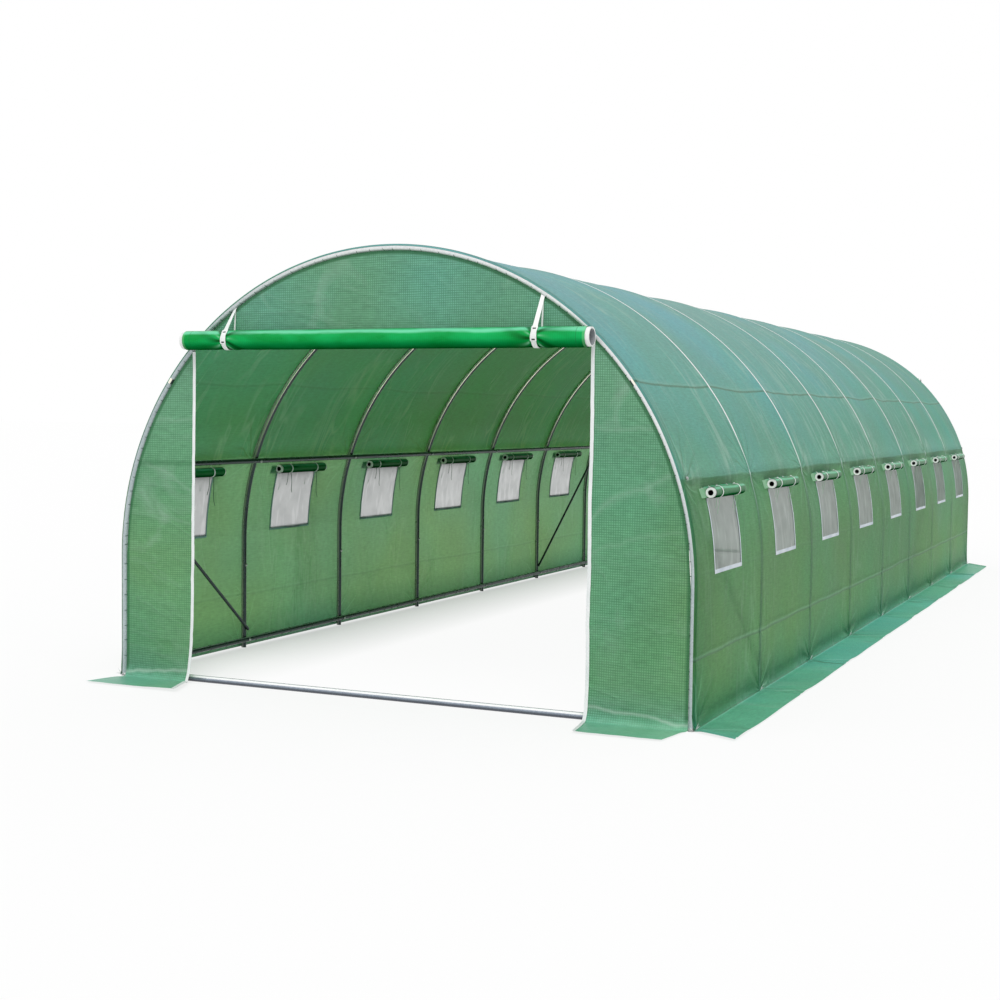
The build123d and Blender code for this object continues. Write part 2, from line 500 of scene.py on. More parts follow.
def makeFanGroup():
    entry, leave = startGroup(
        "fanCreases",
        {"Place": None, "Bay": 1.25, "Height": 1.25, "Reach": 0.35, "Count": 16.0},
        {"Pale": "Float", "Dark": "Float", "Relief": "Float"},
    )
    _, y, z = parts(entry["Place"])
    steps = y / entry["Bay"]
    number = calc("ROUND", steps)
    off = (steps - number) * entry["Bay"]
    rise = z - entry["Height"]
    away = lengthOf(rise, off)
    patches = cloud(entry["Place"], 3.0, W=number)
    wave = calc("SINE", calc("ARCTAN2", rise, off) * entry["Count"] + patches * 11.0)
    fade = lineAt(away, entry["Reach"]) * spread(away, 0.01, 0.05)
    broken = fade * spread(patches, 0.42, 0.58)
    feed(
        leave,
        {"Pale": spread(wave, 0.86, 1.0) * broken, "Dark": spread(wave, -0.8, -1.0) * broken, "Relief": wave * fade},
    )


# Thin creases and scratches that lean up and across the sheet, in worn patches; where they are painted pale they are
# partly wear and partly painted highlight

def makeCreaseGroup():
    entry, leave = startGroup(
        "fineCreases",
        {"Place": None, "Scale": 1.0, "Sharpness": 30.0},
        {"Streaks": "Float", "Height": "Float", "Patches": "Float"},
    )
    scaled = addNode("ShaderNodeVectorMath", {0: entry["Place"], 3: entry["Scale"]}, operation="SCALE")
    scaled = Signal(scaled.outputs[0])
    thin, wide = [], []
    for turn, stretch, seed, low in (
        (0.55, (6.0, 1.0, 1.0), 1.0, 0.5),
        (-0.7, (5.0, 1.2, 1.0), 8.0, 0.52),
        (1.3, (5.0, 1.4, 1.0), 15.0, 0.52),
    ):
        leaning = mapped(scaled, Location=(seed, seed, seed), Rotation=(0, 0, turn), Scale=stretch)
        off = abs(cloud(leaning, 1.0, Distortion=0.6) - 0.5)
        shown = spread(cloud(leaning, 0.5), low, low + 0.12)
        thin.append((1.0 - off * entry["Sharpness"]).clamp() * shown)
        wide.append((1.0 - off * 7.0).clamp() * shown)
    feed(
        leave,
        {
            "Streaks": calc("MAXIMUM", calc("MAXIMUM", thin[0], thin[1]), thin[2]),
            "Height": wide[0] + wide[1] + wide[2] + cloud(scaled, 30.0, 3.0) * 0.3,
            "Patches": cloud(scaled, 1.6, 3.0),
        },
    )


# Zinc coat: spangles, run marks and dull places

def makeZincGroup():
    entry, leave = startGroup(
        "zincCoat",
        {"Place": None, "Spangle": 140.0},
        {"Tone": "Float", "Dull": "Float", "Height": "Float"},
    )
    cells = addNode("ShaderNodeTexVoronoi", {"Vector": entry["Place"], "Scale": entry["Spangle"]})
    tone = parts(Signal(cells.outputs["Color"]))[0]
    haze = cloud(entry["Place"], 9.0, 4.0)
    feed(
        leave,
        {"Tone": tone * 0.35 + haze * 0.65, "Dull": spread(haze, 0.3, 0.75), "Height": cloud(entry["Place"], 420.0)},
    )


# A reinforced sheet: patches of hue and a painted bluish sheen of the sky, pale creases that are partly scuffs and
# partly painted highlights, and the threads, on the colours of its two lights, with painted highlights and painted
# shade in the creases of the light that comes through

def makeSheetGroup():
    entry, leave = startGroup(
        "sheetLook",
        {
            "Place": None,
            "Crease Place": None,
            "Surface": (1.0, 1.0, 1.0, 1.0),
            "Through": (1.0, 1.0, 1.0, 1.0),
            "Streak": (0.5, 0.74, 0.62, 1.0),
            "Streak Share": 0.3,
            "Pitch": 0.0065,
            "Thread Share": 0.15,
            "Scale": 1.0,
        },
        {"Surface": "Color", "Through": "Color", "Height": "Float", "Roughness": "Float"},
    )
    place = entry["Place"]
    creases = useGroup("fineCreases", {"Place": entry["Crease Place"], "Scale": entry["Scale"], "Sharpness": 26.0})
    threads = useGroup("sheetThreads", {"Place": place, "Pitch": entry["Pitch"], "Thread": 0.6})
    grain = cloud(mapped(place, Scale=(14.0, 150.0, 1.0)), 1.0)
    level = spread(cloud(place, 26.0, 5.0, Roughness=0.7) * 0.5 + grain * 0.5, 0.3, 0.7, 0.8, 1.2)
    level = level * spread(creases["Patches"], 0.25, 0.75, 0.9, 1.1)
    grey = Signal(addNode("ShaderNodeCombineColor", {0: level, 1: level, 2: level}).outputs[0])
    # painted sheen: bluish patches stand for the sky's reflection
    skySheen = spread(cloud(place, 0.9, W=4.0), 0.45, 0.68, 0.0, 0.8)
    woven = threads["Threads"] * entry["Thread Share"]
    streaks = creases["Streaks"] * entry["Streak Share"]
    for side in ("Surface", "Through"):
        colour = tint(entry[side], grey)
        colour = tintBy(skySheen, colour, (0.88, 1.06, 1.34))
        colour = tintBy(woven, colour, (0.25, 0.38, 0.28))
        # pale streaks, partly scuffs and partly painted highlights; on the light that comes through, painted
        # highlights along them and painted shade in the folds
        if side == "Surface":
            colour = mix(streaks, colour, entry["Streak"])
        else:
            lit = tint(colour, (1.9, 1.45, 1.7))
            foldShading = spread(creases["Height"], 0.55, 1.5) * 0.55
            colour = mix(streaks, tintBy(foldShading, colour, (0.6, 0.72, 0.62)), lit)
        feed(leave, {side: colour})
    feed(
        leave,
        {
            "Height": creases["Height"] + threads["Height"] * 0.12,
            "Roughness": spread(creases["Patches"], 0.2, 0.8, 0.34, 0.5),
        },
    )


makeThreadGroup()
makeHoopLineGroup()
makeFanGroup()
makeCreaseGroup()
makeZincGroup()
makeSheetGroup()


def closeSheet(shader, look, relief, surface, share):
    normal = bumped(relief, 0.7, 0.004)
    feed(
        shader,
        {"Base Color": surface, "Roughness": look["Roughness"], "Normal": normal, "Specular IOR Level": 0.3},
    )
    letThrough(shader, share, look["Through"], Normal=normal)


# The cover's colours change with height as painted light and shade: a painted sky sheen, bluer at the foot and paler
# over the roof above the fold at the side rail, and on the light that comes through, the walls lit and the roof in
# painted shade

coverFinish = {
    "surface": [
        (0.0, (0.04, 0.28, 0.14)),
        (0.06, (0.036, 0.25, 0.095)),
        (0.14, (0.038, 0.205, 0.045)),
        (0.33, (0.045, 0.225, 0.06)),
        (0.44, (0.06, 0.275, 0.13)),
        (0.485, (0.055, 0.27, 0.135)),
        (0.503, (0.06, 0.25, 0.13)),
        (0.508, (0.17, 0.50, 0.36)),
        (0.56, (0.14, 0.46, 0.34)),
        (0.7, (0.17, 0.52, 0.43)),
        (1.0, (0.25, 0.57, 0.53)),
    ],
    "through": [
        (0.0, (0.14, 0.34, 0.15)),
        (0.1, (0.30, 0.56, 0.23)),
        (0.3, (0.31, 0.56, 0.25)),
        (0.5, (0.27, 0.53, 0.22)),
        (0.51, (0.1, 0.29, 0.05)),
        (0.6, (0.05, 0.19, 0.015)),
        (0.8, (0.028, 0.14, 0.01)),
        (1.0, (0.022, 0.12, 0.01)),
    ],
    "skirt": (0.125, 0.47, 0.3),
    "skirtCrease": (0.5, 0.85, 0.74),
    "footShadow": (0.025, 0.13, 0.06),
    "shaded": (0.74, 0.93, 0.62),
    "rear": (0.74, 0.9, 0.8),
    "near": (0.47, 0.74, 0.52),
    "top": 2.48,
    # height, share, and how far the crease droops between two hoops
    "creases": ((0.352, 1.0, 0.0), (0.77, 0.2, 0.0), (1.74, 0.9, 0.015)),
    "creaseShade": (0.03, 0.12, 0.05),
    "creaseHighlight": (0.4, 0.7, 0.55),
    # height, reach, count and share of the creases that fan out from each hoop
    "fans": ((1.245, 0.42, 13.0, 0.75), (0.015, 0.4, 13.0, 0.85), (0.352, 0.1, 8.0, 1.0)),
    "fanHighlight": (0.3, 0.66, 0.42),
    "hoopHighlight": (1.0, 1.0, 1.0),
    "hoopHighlightLow": (0.26, 0.55, 0.38),
    "hoopEdgeShade": (0.05, 0.14, 0.09),
}


def makeCoverSheet():
    finish, bay = coverFinish, tunnel["bay"]
    material, shader, place, sheet = startMaterial("coverSheet")
    x, y, height = parts(place)
    # crease lines and colour steps follow the height, with a slight wander
    wavy = height + (cloud(place, 1.7, 3.0) - 0.5) * spread(height, 0.1, 0.4, 0.0, 0.035)
    level = (wavy / finish["top"]).clamp()
    around = parts(sheet)[1]
    up = calc("MINIMUM", around, aroundArch - around)
    # painted shade: the side turned from the light is greener over the roof, and the rear bays lose some of the
    # painted sheen
    roof = spread(height, 1.25, 1.5)
    base = tintBy(spread(x, -0.9, 0.5, 1.0, 0.0) * roof, rampOf(level, finish["surface"]), finish["shaded"])
    base = tintBy(spread(y, -2.0, 4.0) * roof, base, finish["rear"])
    # painted shade, darker towards the front of the right wall, and less so in a painted sheen beside the end hoop
    near = spread(y, -5.0, 1.5, 1.0, 0.0) * spread(x, 0.5, 1.0)
    near = near * calc("MINIMUM", spread(height, 0.04, 0.2), spread(height, 1.26, 1.2))
    base = tintBy(near * spread(y, -4.98, -4.75, 0.2, 1.0), base, finish["near"])
    # painted sky sheen: the skirts that lie on the ground are paler and bluer
    lying = spread(up, 0.0005, 0.003, 1.0, 0.0)
    base = mix(lying, base, finish["skirt"])
    # painted shadow in a line along the wall's foot
    base = mix(lineAt(abs(up - 0.007), 0.005) * 0.75, base, finish["footShadow"])
    look = useGroup(
        "sheetLook",
        {
            "Place": sheet,
            "Crease Place": sheet,
            "Streak Share": spread(height, 1.2, 1.3, 0.16, 0.5),
            "Surface": base,
            "Through": rampOf(level, finish["through"]),
        },
    )
    surface = look["Surface"]
    hoops = useGroup("overHoops", {"Place": place, "Bay": bay, "Width": spread(height, 1.0, 1.5, 0.006, 0.0105)})
    folds = hoops["Fold"] * 0.6
    seen = spread(x, -0.3, 0.3, 0.35, 1.0)
    midBay = calc("SINE", calc("PINGPONG", y, bay / 2) * (math.pi / bay))
    # painted shade in each crease line, and a painted highlight just above it
    for creaseZ, creaseShare, droop in finish["creases"]:
        rise = calc("MULTIPLY_ADD", midBay, droop, wavy) - creaseZ
        thin = lineAt(abs(rise), 0.006, 1.5) * seen * creaseShare
        folds = calc("MAXIMUM", folds, thin)
        surface = mix(thin * 0.85, surface, finish["creaseShade"])
        above = lineAt(abs(rise - 0.012), 0.012) * seen
        surface = mix(above * (0.3 * creaseShare), surface, finish["creaseHighlight"])
    # painted highlight over each hoop, painted shade in the fold beside it and along the tube's edge
    lineColour = mix(spread(height, 1.0, 1.5), finish["hoopHighlightLow"], finish["hoopHighlight"])
    line = hoops["Line"] * spread(height, 0.9, 1.4, 0.3, 1.0)
    surface = mix(hoops["Fold"] * 0.6, surface, finish["creaseShade"])
    surface = mix(hoops["Edge"] * 0.85, surface, finish["hoopEdgeShade"])
    surface = mix(line, surface, lineColour)
    # a pale crease across the skirt at each hoop
    skew = (abs(x) - cover["radius"]) * -0.45
    crease = lineAt(calc("PINGPONG", y + skew, bay / 2), 0.006, 1.2) * lying
    surface = mix(crease * 0.55, surface, finish["skirtCrease"])
    # less light comes through over a hoop, through the roof's haze and from under the skirts
    share = calc("MINIMUM", spread(up, 0.0, 0.05, 0.08, 0.5), spread(height, 1.24, 1.3, 0.5, 0.38))
    share = share * (1.0 - line * 0.8) * (1.0 - folds * 0.45)
    relief = look["Height"]
    for fanHeight, reach, count, fanShare in finish["fans"]:
        fan = useGroup(
            "fanCreases", {"Place": place, "Bay": bay, "Height": fanHeight, "Reach": reach, "Count": count}
        )
        # painted highlights and painted shade along the fanned creases
        surface = mix(fan["Pale"] * fanShare, surface, finish["fanHighlight"])
        surface = mix(fan["Dark"] * fanShare, surface, finish["creaseShade"])
        relief = relief + fan["Relief"] * 0.8
    closeSheet(shader, look, relief, surface, share)
    return material


coverSheet = makeCoverSheet()


# The end walls' sheet, with its clear square grid of threads

panelFinish = {
    # colours by height, with a painted sky sheen: paler and bluer high up, and bluer on the skirt
    "surface": [
        (0.0, (0.185, 0.49, 0.29)),
        (0.012, (0.175, 0.47, 0.27)),
        (0.03, (0.22, 0.49, 0.28)),
        (0.08, (0.205, 0.475, 0.22)),
        (0.3, (0.235, 0.51, 0.245)),
        (0.45, (0.2, 0.5, 0.275)),
        (0.75, (0.255, 0.56, 0.37)),
        (1.0, (0.24, 0.56, 0.35)),
    ],
    "through": (0.12, 0.34, 0.14),
    "share": 0.4,
    "paleHighlight": (0.6, 0.8, 0.68),
    "edge": (0.035, 0.17, 0.07),
    "pitch": 0.0125,
    "threadShare": 0.62,
    "ring": 1.7213,
    # soft folds with a painted highlight along them: height at the door edge, at the hoop, width and strength
    "folds": ((1.04, 1.3, 0.04, 0.18), (0.86, 1.0, 0.03, 0.1), (1.52, 1.5, 0.03, 0.16)),
    # where the painted shadow of the side rail shows dimly through the left panels
    "railShadowZ": 1.262,
}


def makePanelSheet():
    finish = panelFinish
    material, shader, place, sheet = startMaterial("endWallSheet")
    x, _, height = parts(place)
    out = abs(x)
    # creases of the end walls lie flatter than those of the cover
    flat = mapped(mapped(place, Rotation=(math.pi / 2, 0, 0)), Rotation=(0, 0, 1.35))
    look = useGroup(
        "sheetLook",
        {
            "Place": sheet,
            "Crease Place": flat,
            "Surface": rampOf((height / coverFinish["top"]).clamp(), finish["surface"]),
            "Through": finish["through"],
            "Pitch": finish["pitch"],
            "Thread Share": spread(height, 0.012, 0.05, 0.3, finish["threadShare"]),
            "Streak Share": 0.09,
            "Scale": 1.2,
        },
    )
    wander = cloud(place, 5.0, 3.0) - 0.5
    # painted sheen in pale hazy patches, more of it higher up
    haze = spread(cloud(flat, 2.6, 3.0, Distortion=0.8), 0.56, 0.74) * spread(height, 0.3, 0.9, 0.1, 0.34)
    surface = mix(haze, look["Surface"], finish["paleHighlight"])
    across = calc("POWER", spread(out, 1.2, 1.72), 0.6)
    # painted highlights along the soft folds
    for low, high, wide, strength in finish["folds"]:
        ridge = across * (high - low) + low + wander * 0.1
        off = lineAt(abs(height - ridge), wide)
        surface = mix(off * off * strength * spread(out, 1.1, 1.2), surface, finish["paleHighlight"])
    # a painted highlight where the sheet bends out on to the ground, in a band that falls towards the hoop
    band = lineAt(abs(height + wander * 0.06 - spread(out, 1.15, 1.7, 0.085, 0.03)), 0.014)
    surface = mix(band * 0.5, surface, finish["paleHighlight"])
    # painted shadow of the side rail behind the sheet
    rail = lineAt(abs(height - finish["railShadowZ"]), 0.013, 1.6) * spread(x, -1.2, -1.25)
    surface = mix(rail * 0.42, surface, finish["edge"])
    # the hem along the hoop is doubled, and darker, with painted shade from the tube beside it
    ring = lengthOf(calc("MAXIMUM", height - tunnel["legHeight"], 0.0), x)
    hem = spread(ring, finish["ring"] - 0.022, finish["ring"] - 0.014, 0.0, 0.75) * spread(height, 0.02, 0.06)
    surface = mix(hem, surface, finish["edge"])
    closeSheet(shader, look, look["Height"], surface, spread(height, 0.02, 0.08, 0.08, finish["share"]))
    return material


panelSheet = makePanelSheet()


# Rolled sheet: the same plastic in many layers, so deeper green and glossier

doorRoll = {
    "middle": -0.03,
    "halfLength": 1.213,
    "z": 1.9613,
    "out": 5.0726,
    "inner": 0.0503,
    "outer": 0.0542,
    "turns": 4.1,
    "meanRadius": 0.0524,
    "strapAt": 0.937,
    "strapWidth": 0.028,
    "strapThickness": 0.0016,
    "headRing": 1.7217,
    "headDrop": 0.0015,
    # the buckle's length, and where its two slots lie along it
    "buckle": 0.085,
    "slots": (0.009, 0.068),
    # pleats that fan out from each strap
    "pleatReach": 0.075,
    "pleatFan": (0.054, 0.014, 6.5, 21.0),
}
strapPlaces = [doorRoll["middle"] + side * doorRoll["strapAt"] for side in (-1, 1)]
flap = {
    "length": 0.56,
    "shift": 0.02,
    "z": 1.179,
    "at": {"outer": 1.7243, "inner": 1.6614},
    "coreRadius": 0.0272,
    "outerRadius": 0.0305,
    "turns": 2.2,
    "meanRadius": 0.028,
    "tieAt": (-0.165, 0.165),
    "tieWidth": 0.012,
    "tailWidth": 0.006,
    "shortTail": 0.62,
    # lengths of the loose ends at the two ties, and how far they lean out
    "tails": {"outer": ((0.1, 0.13), -0.012), "inner": ((0.15, 0.2), -0.01)},
}
rollFinish = {
    "door": {
        "pale": (0.006, 0.43, 0.11),
        "deep": (0.002, 0.3, 0.055),
        "sheen": (0.2, 0.72, 0.45),
        "pitch": 0.0125,
        "z": doorRoll["z"],
        "radius": 0.055,
        "specular": 0.13,
    },
    "flap": {
        "pale": (0.008, 0.18, 0.045),
        "deep": (0.003, 0.12, 0.028),
        "sheen": (0.1, 0.5, 0.27),
        "pitch": 0.011,
        "z": flap["z"],
        "radius": 0.03,
        "specular": 0.1,
    },
    "under": (0.03, 0.14, 0.07),
    "pleatShade": (0.05, 0.2, 0.1),
    "ridge": (0.42, 0.88, 0.62),
    "ends": (0.25, 0.62, 0.3),
    "seam": (0.01, 0.14, 0.04),
}


def pleatWave(place):
    # pleats of a rolled door, fanned out from the two straps
    x, y, z = parts(place)
    reachOver, reachFrom, count, skew = doorRoll["pleatFan"]
    turn = calc("ARCTAN2", z - doorRoll["z"], abs(y) - doorRoll["out"])
    waves = []
    for at in strapPlaces:
        off = x - at
        reach = abs(off)
        fan = calc("ARCTAN2", turn * reachOver, reach + reachFrom)
        fade = calc("EXPONENT", reach / -doorRoll["pleatReach"]) * spread(reach, 0.008, 0.03)
        waves.append(calc("SINE", fan * count + off * skew) * fade)
    return waves[0] + waves[1]


def makeRollSheet(name, kind):
    finish = rollFinish[kind]
    material, shader, place, sheet = startMaterial(name)
    x, _, z = parts(place)
    creases = useGroup("fineCreases", {"Place": sheet, "Scale": 2.5, "Sharpness": 18.0})
    threads = useGroup("sheetThreads", {"Place": sheet, "Pitch": finish["pitch"], "Thread": 0.5})
    patches = creases["Patches"]
    colour = mix(spread(patches, 0.35, 0.65), finish["deep"], finish["pale"])
    colour = tintBy(threads["Threads"] * 0.3, colour, (0.3, 0.55, 0.4))
    # painted highlight paler towards the top, painted shade deep green underneath
    rise = (z - finish["z"]) / finish["radius"]
    ragged = rise + (patches - 0.5) * 0.5
    sheen = spread(ragged, 0.44, 0.66) * spread(ragged, 0.98, 0.8)
    colour = mix(sheen * 0.75, colour, finish["sheen"])
    colour = tintBy(spread(rise, -0.95, -0.1, 0.92, 0.0), colour, rollFinish["under"])
    if kind == "door":
        # painted shade in the pleats' valleys, painted highlights on their ridges
        wave = pleatWave(place)
        pleatShade, ridge = (wave * -1.8).clamp(), (wave * 1.25).clamp()
        colour = tintBy(pleatShade * 0.92, colour, rollFinish["pleatShade"])
        colour = mix(calc("POWER", ridge, 4.0) * 0.75, colour, rollFinish["ridge"])
        # one layer at the very ends, with the white core behind it, and a seam beside each
        out = abs(x - doorRoll["middle"])
        colour = mix(spread(out, 1.198, 1.202, 0.0, 0.25), colour, rollFinish["ends"])
        colour = mix(lineAt(abs(out - 1.165), 0.004) * 0.5, colour, rollFinish["seam"])
    feed(
        shader,
        {
            "Base Color": colour,
            "Roughness": spread(patches, 0.2, 0.8, 0.24, 0.36),
            "Normal": bumped(creases["Height"] + threads["Height"] * 0.1, 0.4, 0.0012),
            "Specular IOR Level": spread(rise, -0.5, 0.3, 0.0, finish["specular"]),
        },
    )
    return material


doorRollSheet = makeRollSheet("doorRollSheet", "door")
flapRollSheet = makeRollSheet("flapRollSheet", "flap")


# Netting: fine square mesh, half see-through, with painted highlights on pale upright folds

def makeNetting():
    material, shader, _, sheet = startMaterial("insectNetting")
    threads = useGroup("sheetThreads", {"Place": sheet, "Pitch": 0.007, "Thread": 0.8})
    tone = spread(cloud(sheet, 7.0, 3.0), 0.3, 0.7)
    drawn = addNode("ShaderNodeVectorMath", {0: sheet, 1: (4.0, 0.9, 1.0)}, operation="MULTIPLY")
    foldShading = spread(cloud(Signal(drawn.outputs[0]), 5.0), 0.53, 0.65, 0.0, 0.5)
    colour = mix(tone, (0.03, 0.037, 0.05), (0.1, 0.115, 0.14))
    colour = mix(foldShading * 0.7, colour, (0.24, 0.26, 0.28))
    colour = mix(threads["Threads"] * 0.6, colour, (0.03, 0.04, 0.045))
    feed(
        shader,
        {
            "Base Color": colour,
            "Alpha": threads["Threads"] * 0.16 + 0.66,
            "Roughness": 0.7,
            "Specular IOR Level": 0.2,
            "Normal": bumped(threads["Height"], 0.4, 0.0005),
        },
    )
    # on the light that comes through, painted highlights along the folds
    passing = mix(tone, (0.64, 0.66, 0.655), (0.8, 0.82, 0.81))
    letThrough(shader, 0.6, mix(foldShading, passing, (0.97, 0.98, 0.98)))
    return material


netting = makeNetting()


# Hems, tapes, straps and ties: woven plastic tape

def makeTape(name, pale, shade, pitch, rough):
    material, shader, place, sheet = startMaterial(name)
    threads = useGroup("sheetThreads", {"Place": sheet, "Pitch": pitch, "Thread": 0.7})
    haze = cloud(place, 7.0, 4.0)
    colour = mix(spread(haze, 0.35, 0.75), paint(*pale), paint(*shade))
    feed(
        shader,
        {
            "Base Color": mix(threads["Threads"] * 0.12, colour, paint(*(v * 0.75 for v in shade))),
            "Roughness": spread(haze, 0.3, 0.7, rough - 0.07, rough + 0.07),
            "Normal": bumped(threads["Height"], 0.5, 0.0005),
            "Specular IOR Level": 0.4,
        },
    )
    return material


whiteTape = makeTape("whiteTape", (238, 240, 240), (220, 226, 226), 0.004, 0.5)
hemTape = makeTape("hemTape", (214, 221, 228), (186, 197, 208), 0.004, 0.5)
innerHem = makeTape("innerHem", (140, 176, 176), (112, 150, 148), 0.004, 0.6)
whiteStrap = makeTape("whiteStrap", (244, 246, 245), (228, 232, 230), 0.003, 0.4)
greenTie = makeTape("greenTie", (34, 96, 64), (20, 70, 46), 0.002, 0.55)
palePatch = makeTape("palePatch", (138, 186, 148), (112, 166, 126), 0.005, 0.5)


# White plastic core tubes, with painted shade in their bores

def makeCorePlastic(name, z, spots, bore, dark):
    # spots: the axis that the tubes' middles are measured along, and the middles
    material, shader, place, _ = startMaterial(name)
    axis, middles = spots
    split = parts(place)
    haze = cloud(place, 26.0, 3.0)
    # painted shade on the ends, where the bores are
    inside = 0.0
    for middle in middles:
        away = lengthOf(abs(split[axis]) - middle, split[2] - z)
        inside = calc("MAXIMUM", calc("LESS_THAN", away, bore), inside)
    colour = mix(spread(haze, 0.35, 0.7), paint(240, 240, 238), paint(222, 224, 224))
    feed(
        shader,
        {
            "Base Color": mix(inside, colour, paint(*dark)),
            "Roughness": spread(haze, 0.3, 0.7, 0.34, 0.46),
            "Normal": bumped(haze, 0.2, 0.0005),
        },
    )
    return material


flapCorePlastic = makeCorePlastic("flapCorePlastic", flap["z"], (0, flap["at"].values()), 0.0146, (14, 16, 15))
doorCorePlastic = makeCorePlastic("doorCorePlastic", doorRoll["z"], (1, [doorRoll["out"]]), 0.0424, (150, 155, 158))


# Zinc-coated steel: white with haze on the end arches and a painted highlight overhead, painted dark inside as the
# same steel in shade, with painted highlights and shade along the tubes

steelFinish = {
    # dark and pale tone, metal, roughness, and the painted highlights and shade along each tube as the photo has it:
    # direction, limits, tone, share low down and high up, metal
    "archSteel": (
        (146, 160, 164), (192, 202, 204), 0.35, 0.36,
        ((0.2, -0.5, 0.85), (0.8, 0.95), (250, 252, 252), (0.3, 0.8), 0.0),
        ((0.3, 0.2, -0.93), (0.35, 0.8), (96, 108, 110), (0.6, 0.6), 0.0),
    ),
    "barSteel": (
        (120, 130, 144), (168, 178, 192), 0.5, 0.26,
        ((0, -0.64, 0.77), (0.86, 0.97), (254, 254, 255), (1.0, 1.0), 0.0),
        ((0, -0.5, -0.87), (0.3, 0.75), (58, 64, 74), (0.9, 0.9), 0.0),
    ),
    # the tubes inside: painted dark, as the same steel in shade
    "shadedSteel": (
        (34, 46, 46), (62, 76, 76), 0.7, 0.3,
        ((-0.19, -0.96, 0.2), (0.87, 0.93), (255, 255, 248), (0.3, 1.0), 0.0),
        ((0.17, -0.97, -0.17), (0.925, 0.965), (255, 250, 232), (0.08, 1.0), 1.0),
        ((0.4, 0, 0.92), (0.93, 0.98), (190, 204, 204), (0.5, 0.2), 0.0),
    ),
    "boltSteel": ((110, 114, 112), (190, 194, 192), 0.8, 0.3),
    # painted highlight: the end arches turn paler overhead: tone, and limits of z and of x
    "overhead": ((240, 242, 243), (0.7, 1.5), (-1.3, -0.4)),
}


def makeSteel(name):
    dark, pale, metal, rough, *shines = steelFinish[name]
    material, shader, place, _ = startMaterial(name)
    x, _, z = parts(place)
    zinc = useGroup("zincCoat", {"Place": place, "Spangle": 150.0})
    colour = mix(zinc["Tone"], paint(*dark), paint(*pale))
    # painted highlight: paler overhead on the end arches
    if name == "archSteel":
        tone, zLimits, xLimits = steelFinish["overhead"]
        lifted = mix(zinc["Tone"], paint(*(v * 0.86 for v in tone)), paint(*tone))
        colour = mix(spread(z, *zLimits) * spread(x, *xLimits), colour, lifted)
    # painted highlights and painted shade where the tube turns to given directions
    for direction, limits, tone, shares, shineMetal in shines:
        share = turnedTo(place.tree, direction, *limits) * spread(z, 1.15, 1.75, *shares)
        colour = mix(share, colour, paint(*tone))
        metal = calc("MULTIPLY_ADD", share, shineMetal, (1.0 - share) * metal)
    feed(
        shader,
        {
            "Base Color": colour,
            "Roughness": spread(zinc["Dull"], 0.0, 1.0, rough - 0.08, rough + 0.1),
            "Normal": bumped(zinc["Height"], 0.25, 0.0004),
            "Metallic": metal,
        },
    )
    return material


archSteel, barSteel, shadedSteel, boltSteel = (
    makeSteel(name) for name in ("archSteel", "barSteel", "shadedSteel", "boltSteel")
)


# painted shade that shows through the buckles' slots
def makeSlotShade():
    material, shader, place, _ = startMaterial("buckleSlotShade")
    feed(shader, {"Base Color": mix(cloud(place, 60.0), paint(28, 34, 32), paint(52, 58, 56)), "Roughness": 0.6})
    return material


slotShade = makeSlotShade()
print("materials made")


# The cover: one sheet in three pieces, bent over the hoops, with the side skirts on the walls

def flipped(along, side):
    # the left side's places along the sheet are counted from its other foot
    return along if side > 0 else aroundArch - along


def fromHoop(y):
    # signed distance to the nearest hoop, and its number
    number = within(round((y + tunnel["halfLength"]) / tunnel["bay"]), 0, 8)
    return y - hoopPlaces[number], number


def crease(off, width):
    return math.exp(-abs(off) / width)


def streak(value, sharpness):
    # narrow ridges where a ripple crosses zero
    return (1 - min(abs(value) * sharpness, 1.0)) ** 2


def coverSwell(y, along):
    # how far the sheet stands out from the hoops' line
    up = min(along, aroundArch - along)
    seed = 30.0 if along > aroundArch / 2 else 0.0
    off, number = fromHoop(y)
    share = min(abs(off) / (tunnel["bay"] / 2), 1.0)
    span = 1 - (1 - share) ** 2
    roof = within((up - seamAlong) / 0.7)
    roof = roof * roof * (3 - 2 * roof)
    sag = cover["wallSag"] + (cover["roofSag"] - cover["wallSag"]) * roof
    swell = -sag * span
    swell -= cover["hoopPinch"] * (1 - bell(off, 0.02)) * (0.25 + 0.75 * roof)
    # fold where the sheet passes the side rail: full above, tucked in below
    above = up - seamAlong + 0.004 * math.sin(y * 3.1 + number)
    fold = bell(above, 0.12 if above > 0 else 0.02) - 0.75 * bell(above + 0.055, 0.04)
    swell += cover["railFold"] * fold * (0.45 + 0.55 * span)
    # packing creases along the tunnel
    swell -= 0.0035 * crease(up - haunchAlong + 0.03 * span + 0.006 * ripple(y * 1.3, 4.0), 0.014)
    swell -= 0.003 * crease(up - cover["lowCreaseZ"], 0.014)
    swell += 0.0016 * crease(up - cover["windowLow"] - 0.004, 0.012) * span
    # slack between the hoops, and streaks that lean away from them
    swell += 0.006 * span * ripple(y * 0.9, up * 0.8, 3.0 + seed)
    lean = ripple(y * 5.0 + up * 3.4 * (1 if off > 0 else -1), up * 1.1, 7.0 + seed)
    swell += (0.001 + 0.0014 * roof) * span * streak(lean, 3.2)
    # pleats that fan up from each foot
    reach = math.hypot(off, up)
    fan = math.exp(-reach / 0.17) * min(reach / 0.04, 1.0)
    turn = math.atan2(max(up, 0.0), off)
    wave = math.sin(turn * 9 + number * 1.7 + 2.5 * reach)
    swell += 0.0105 * fan * wave * (1.25 if number in (0, 8) else 0.8)
    # and from the bolt at the rail
    reach = math.hypot(off, up - seamAlong)
    fan = math.exp(-reach / 0.13) * min(reach / 0.03, 1.0)
    turn = math.atan2(up - seamAlong, off)
    return swell + 0.003 * fan * math.sin(turn * 7 + number * 2.3)


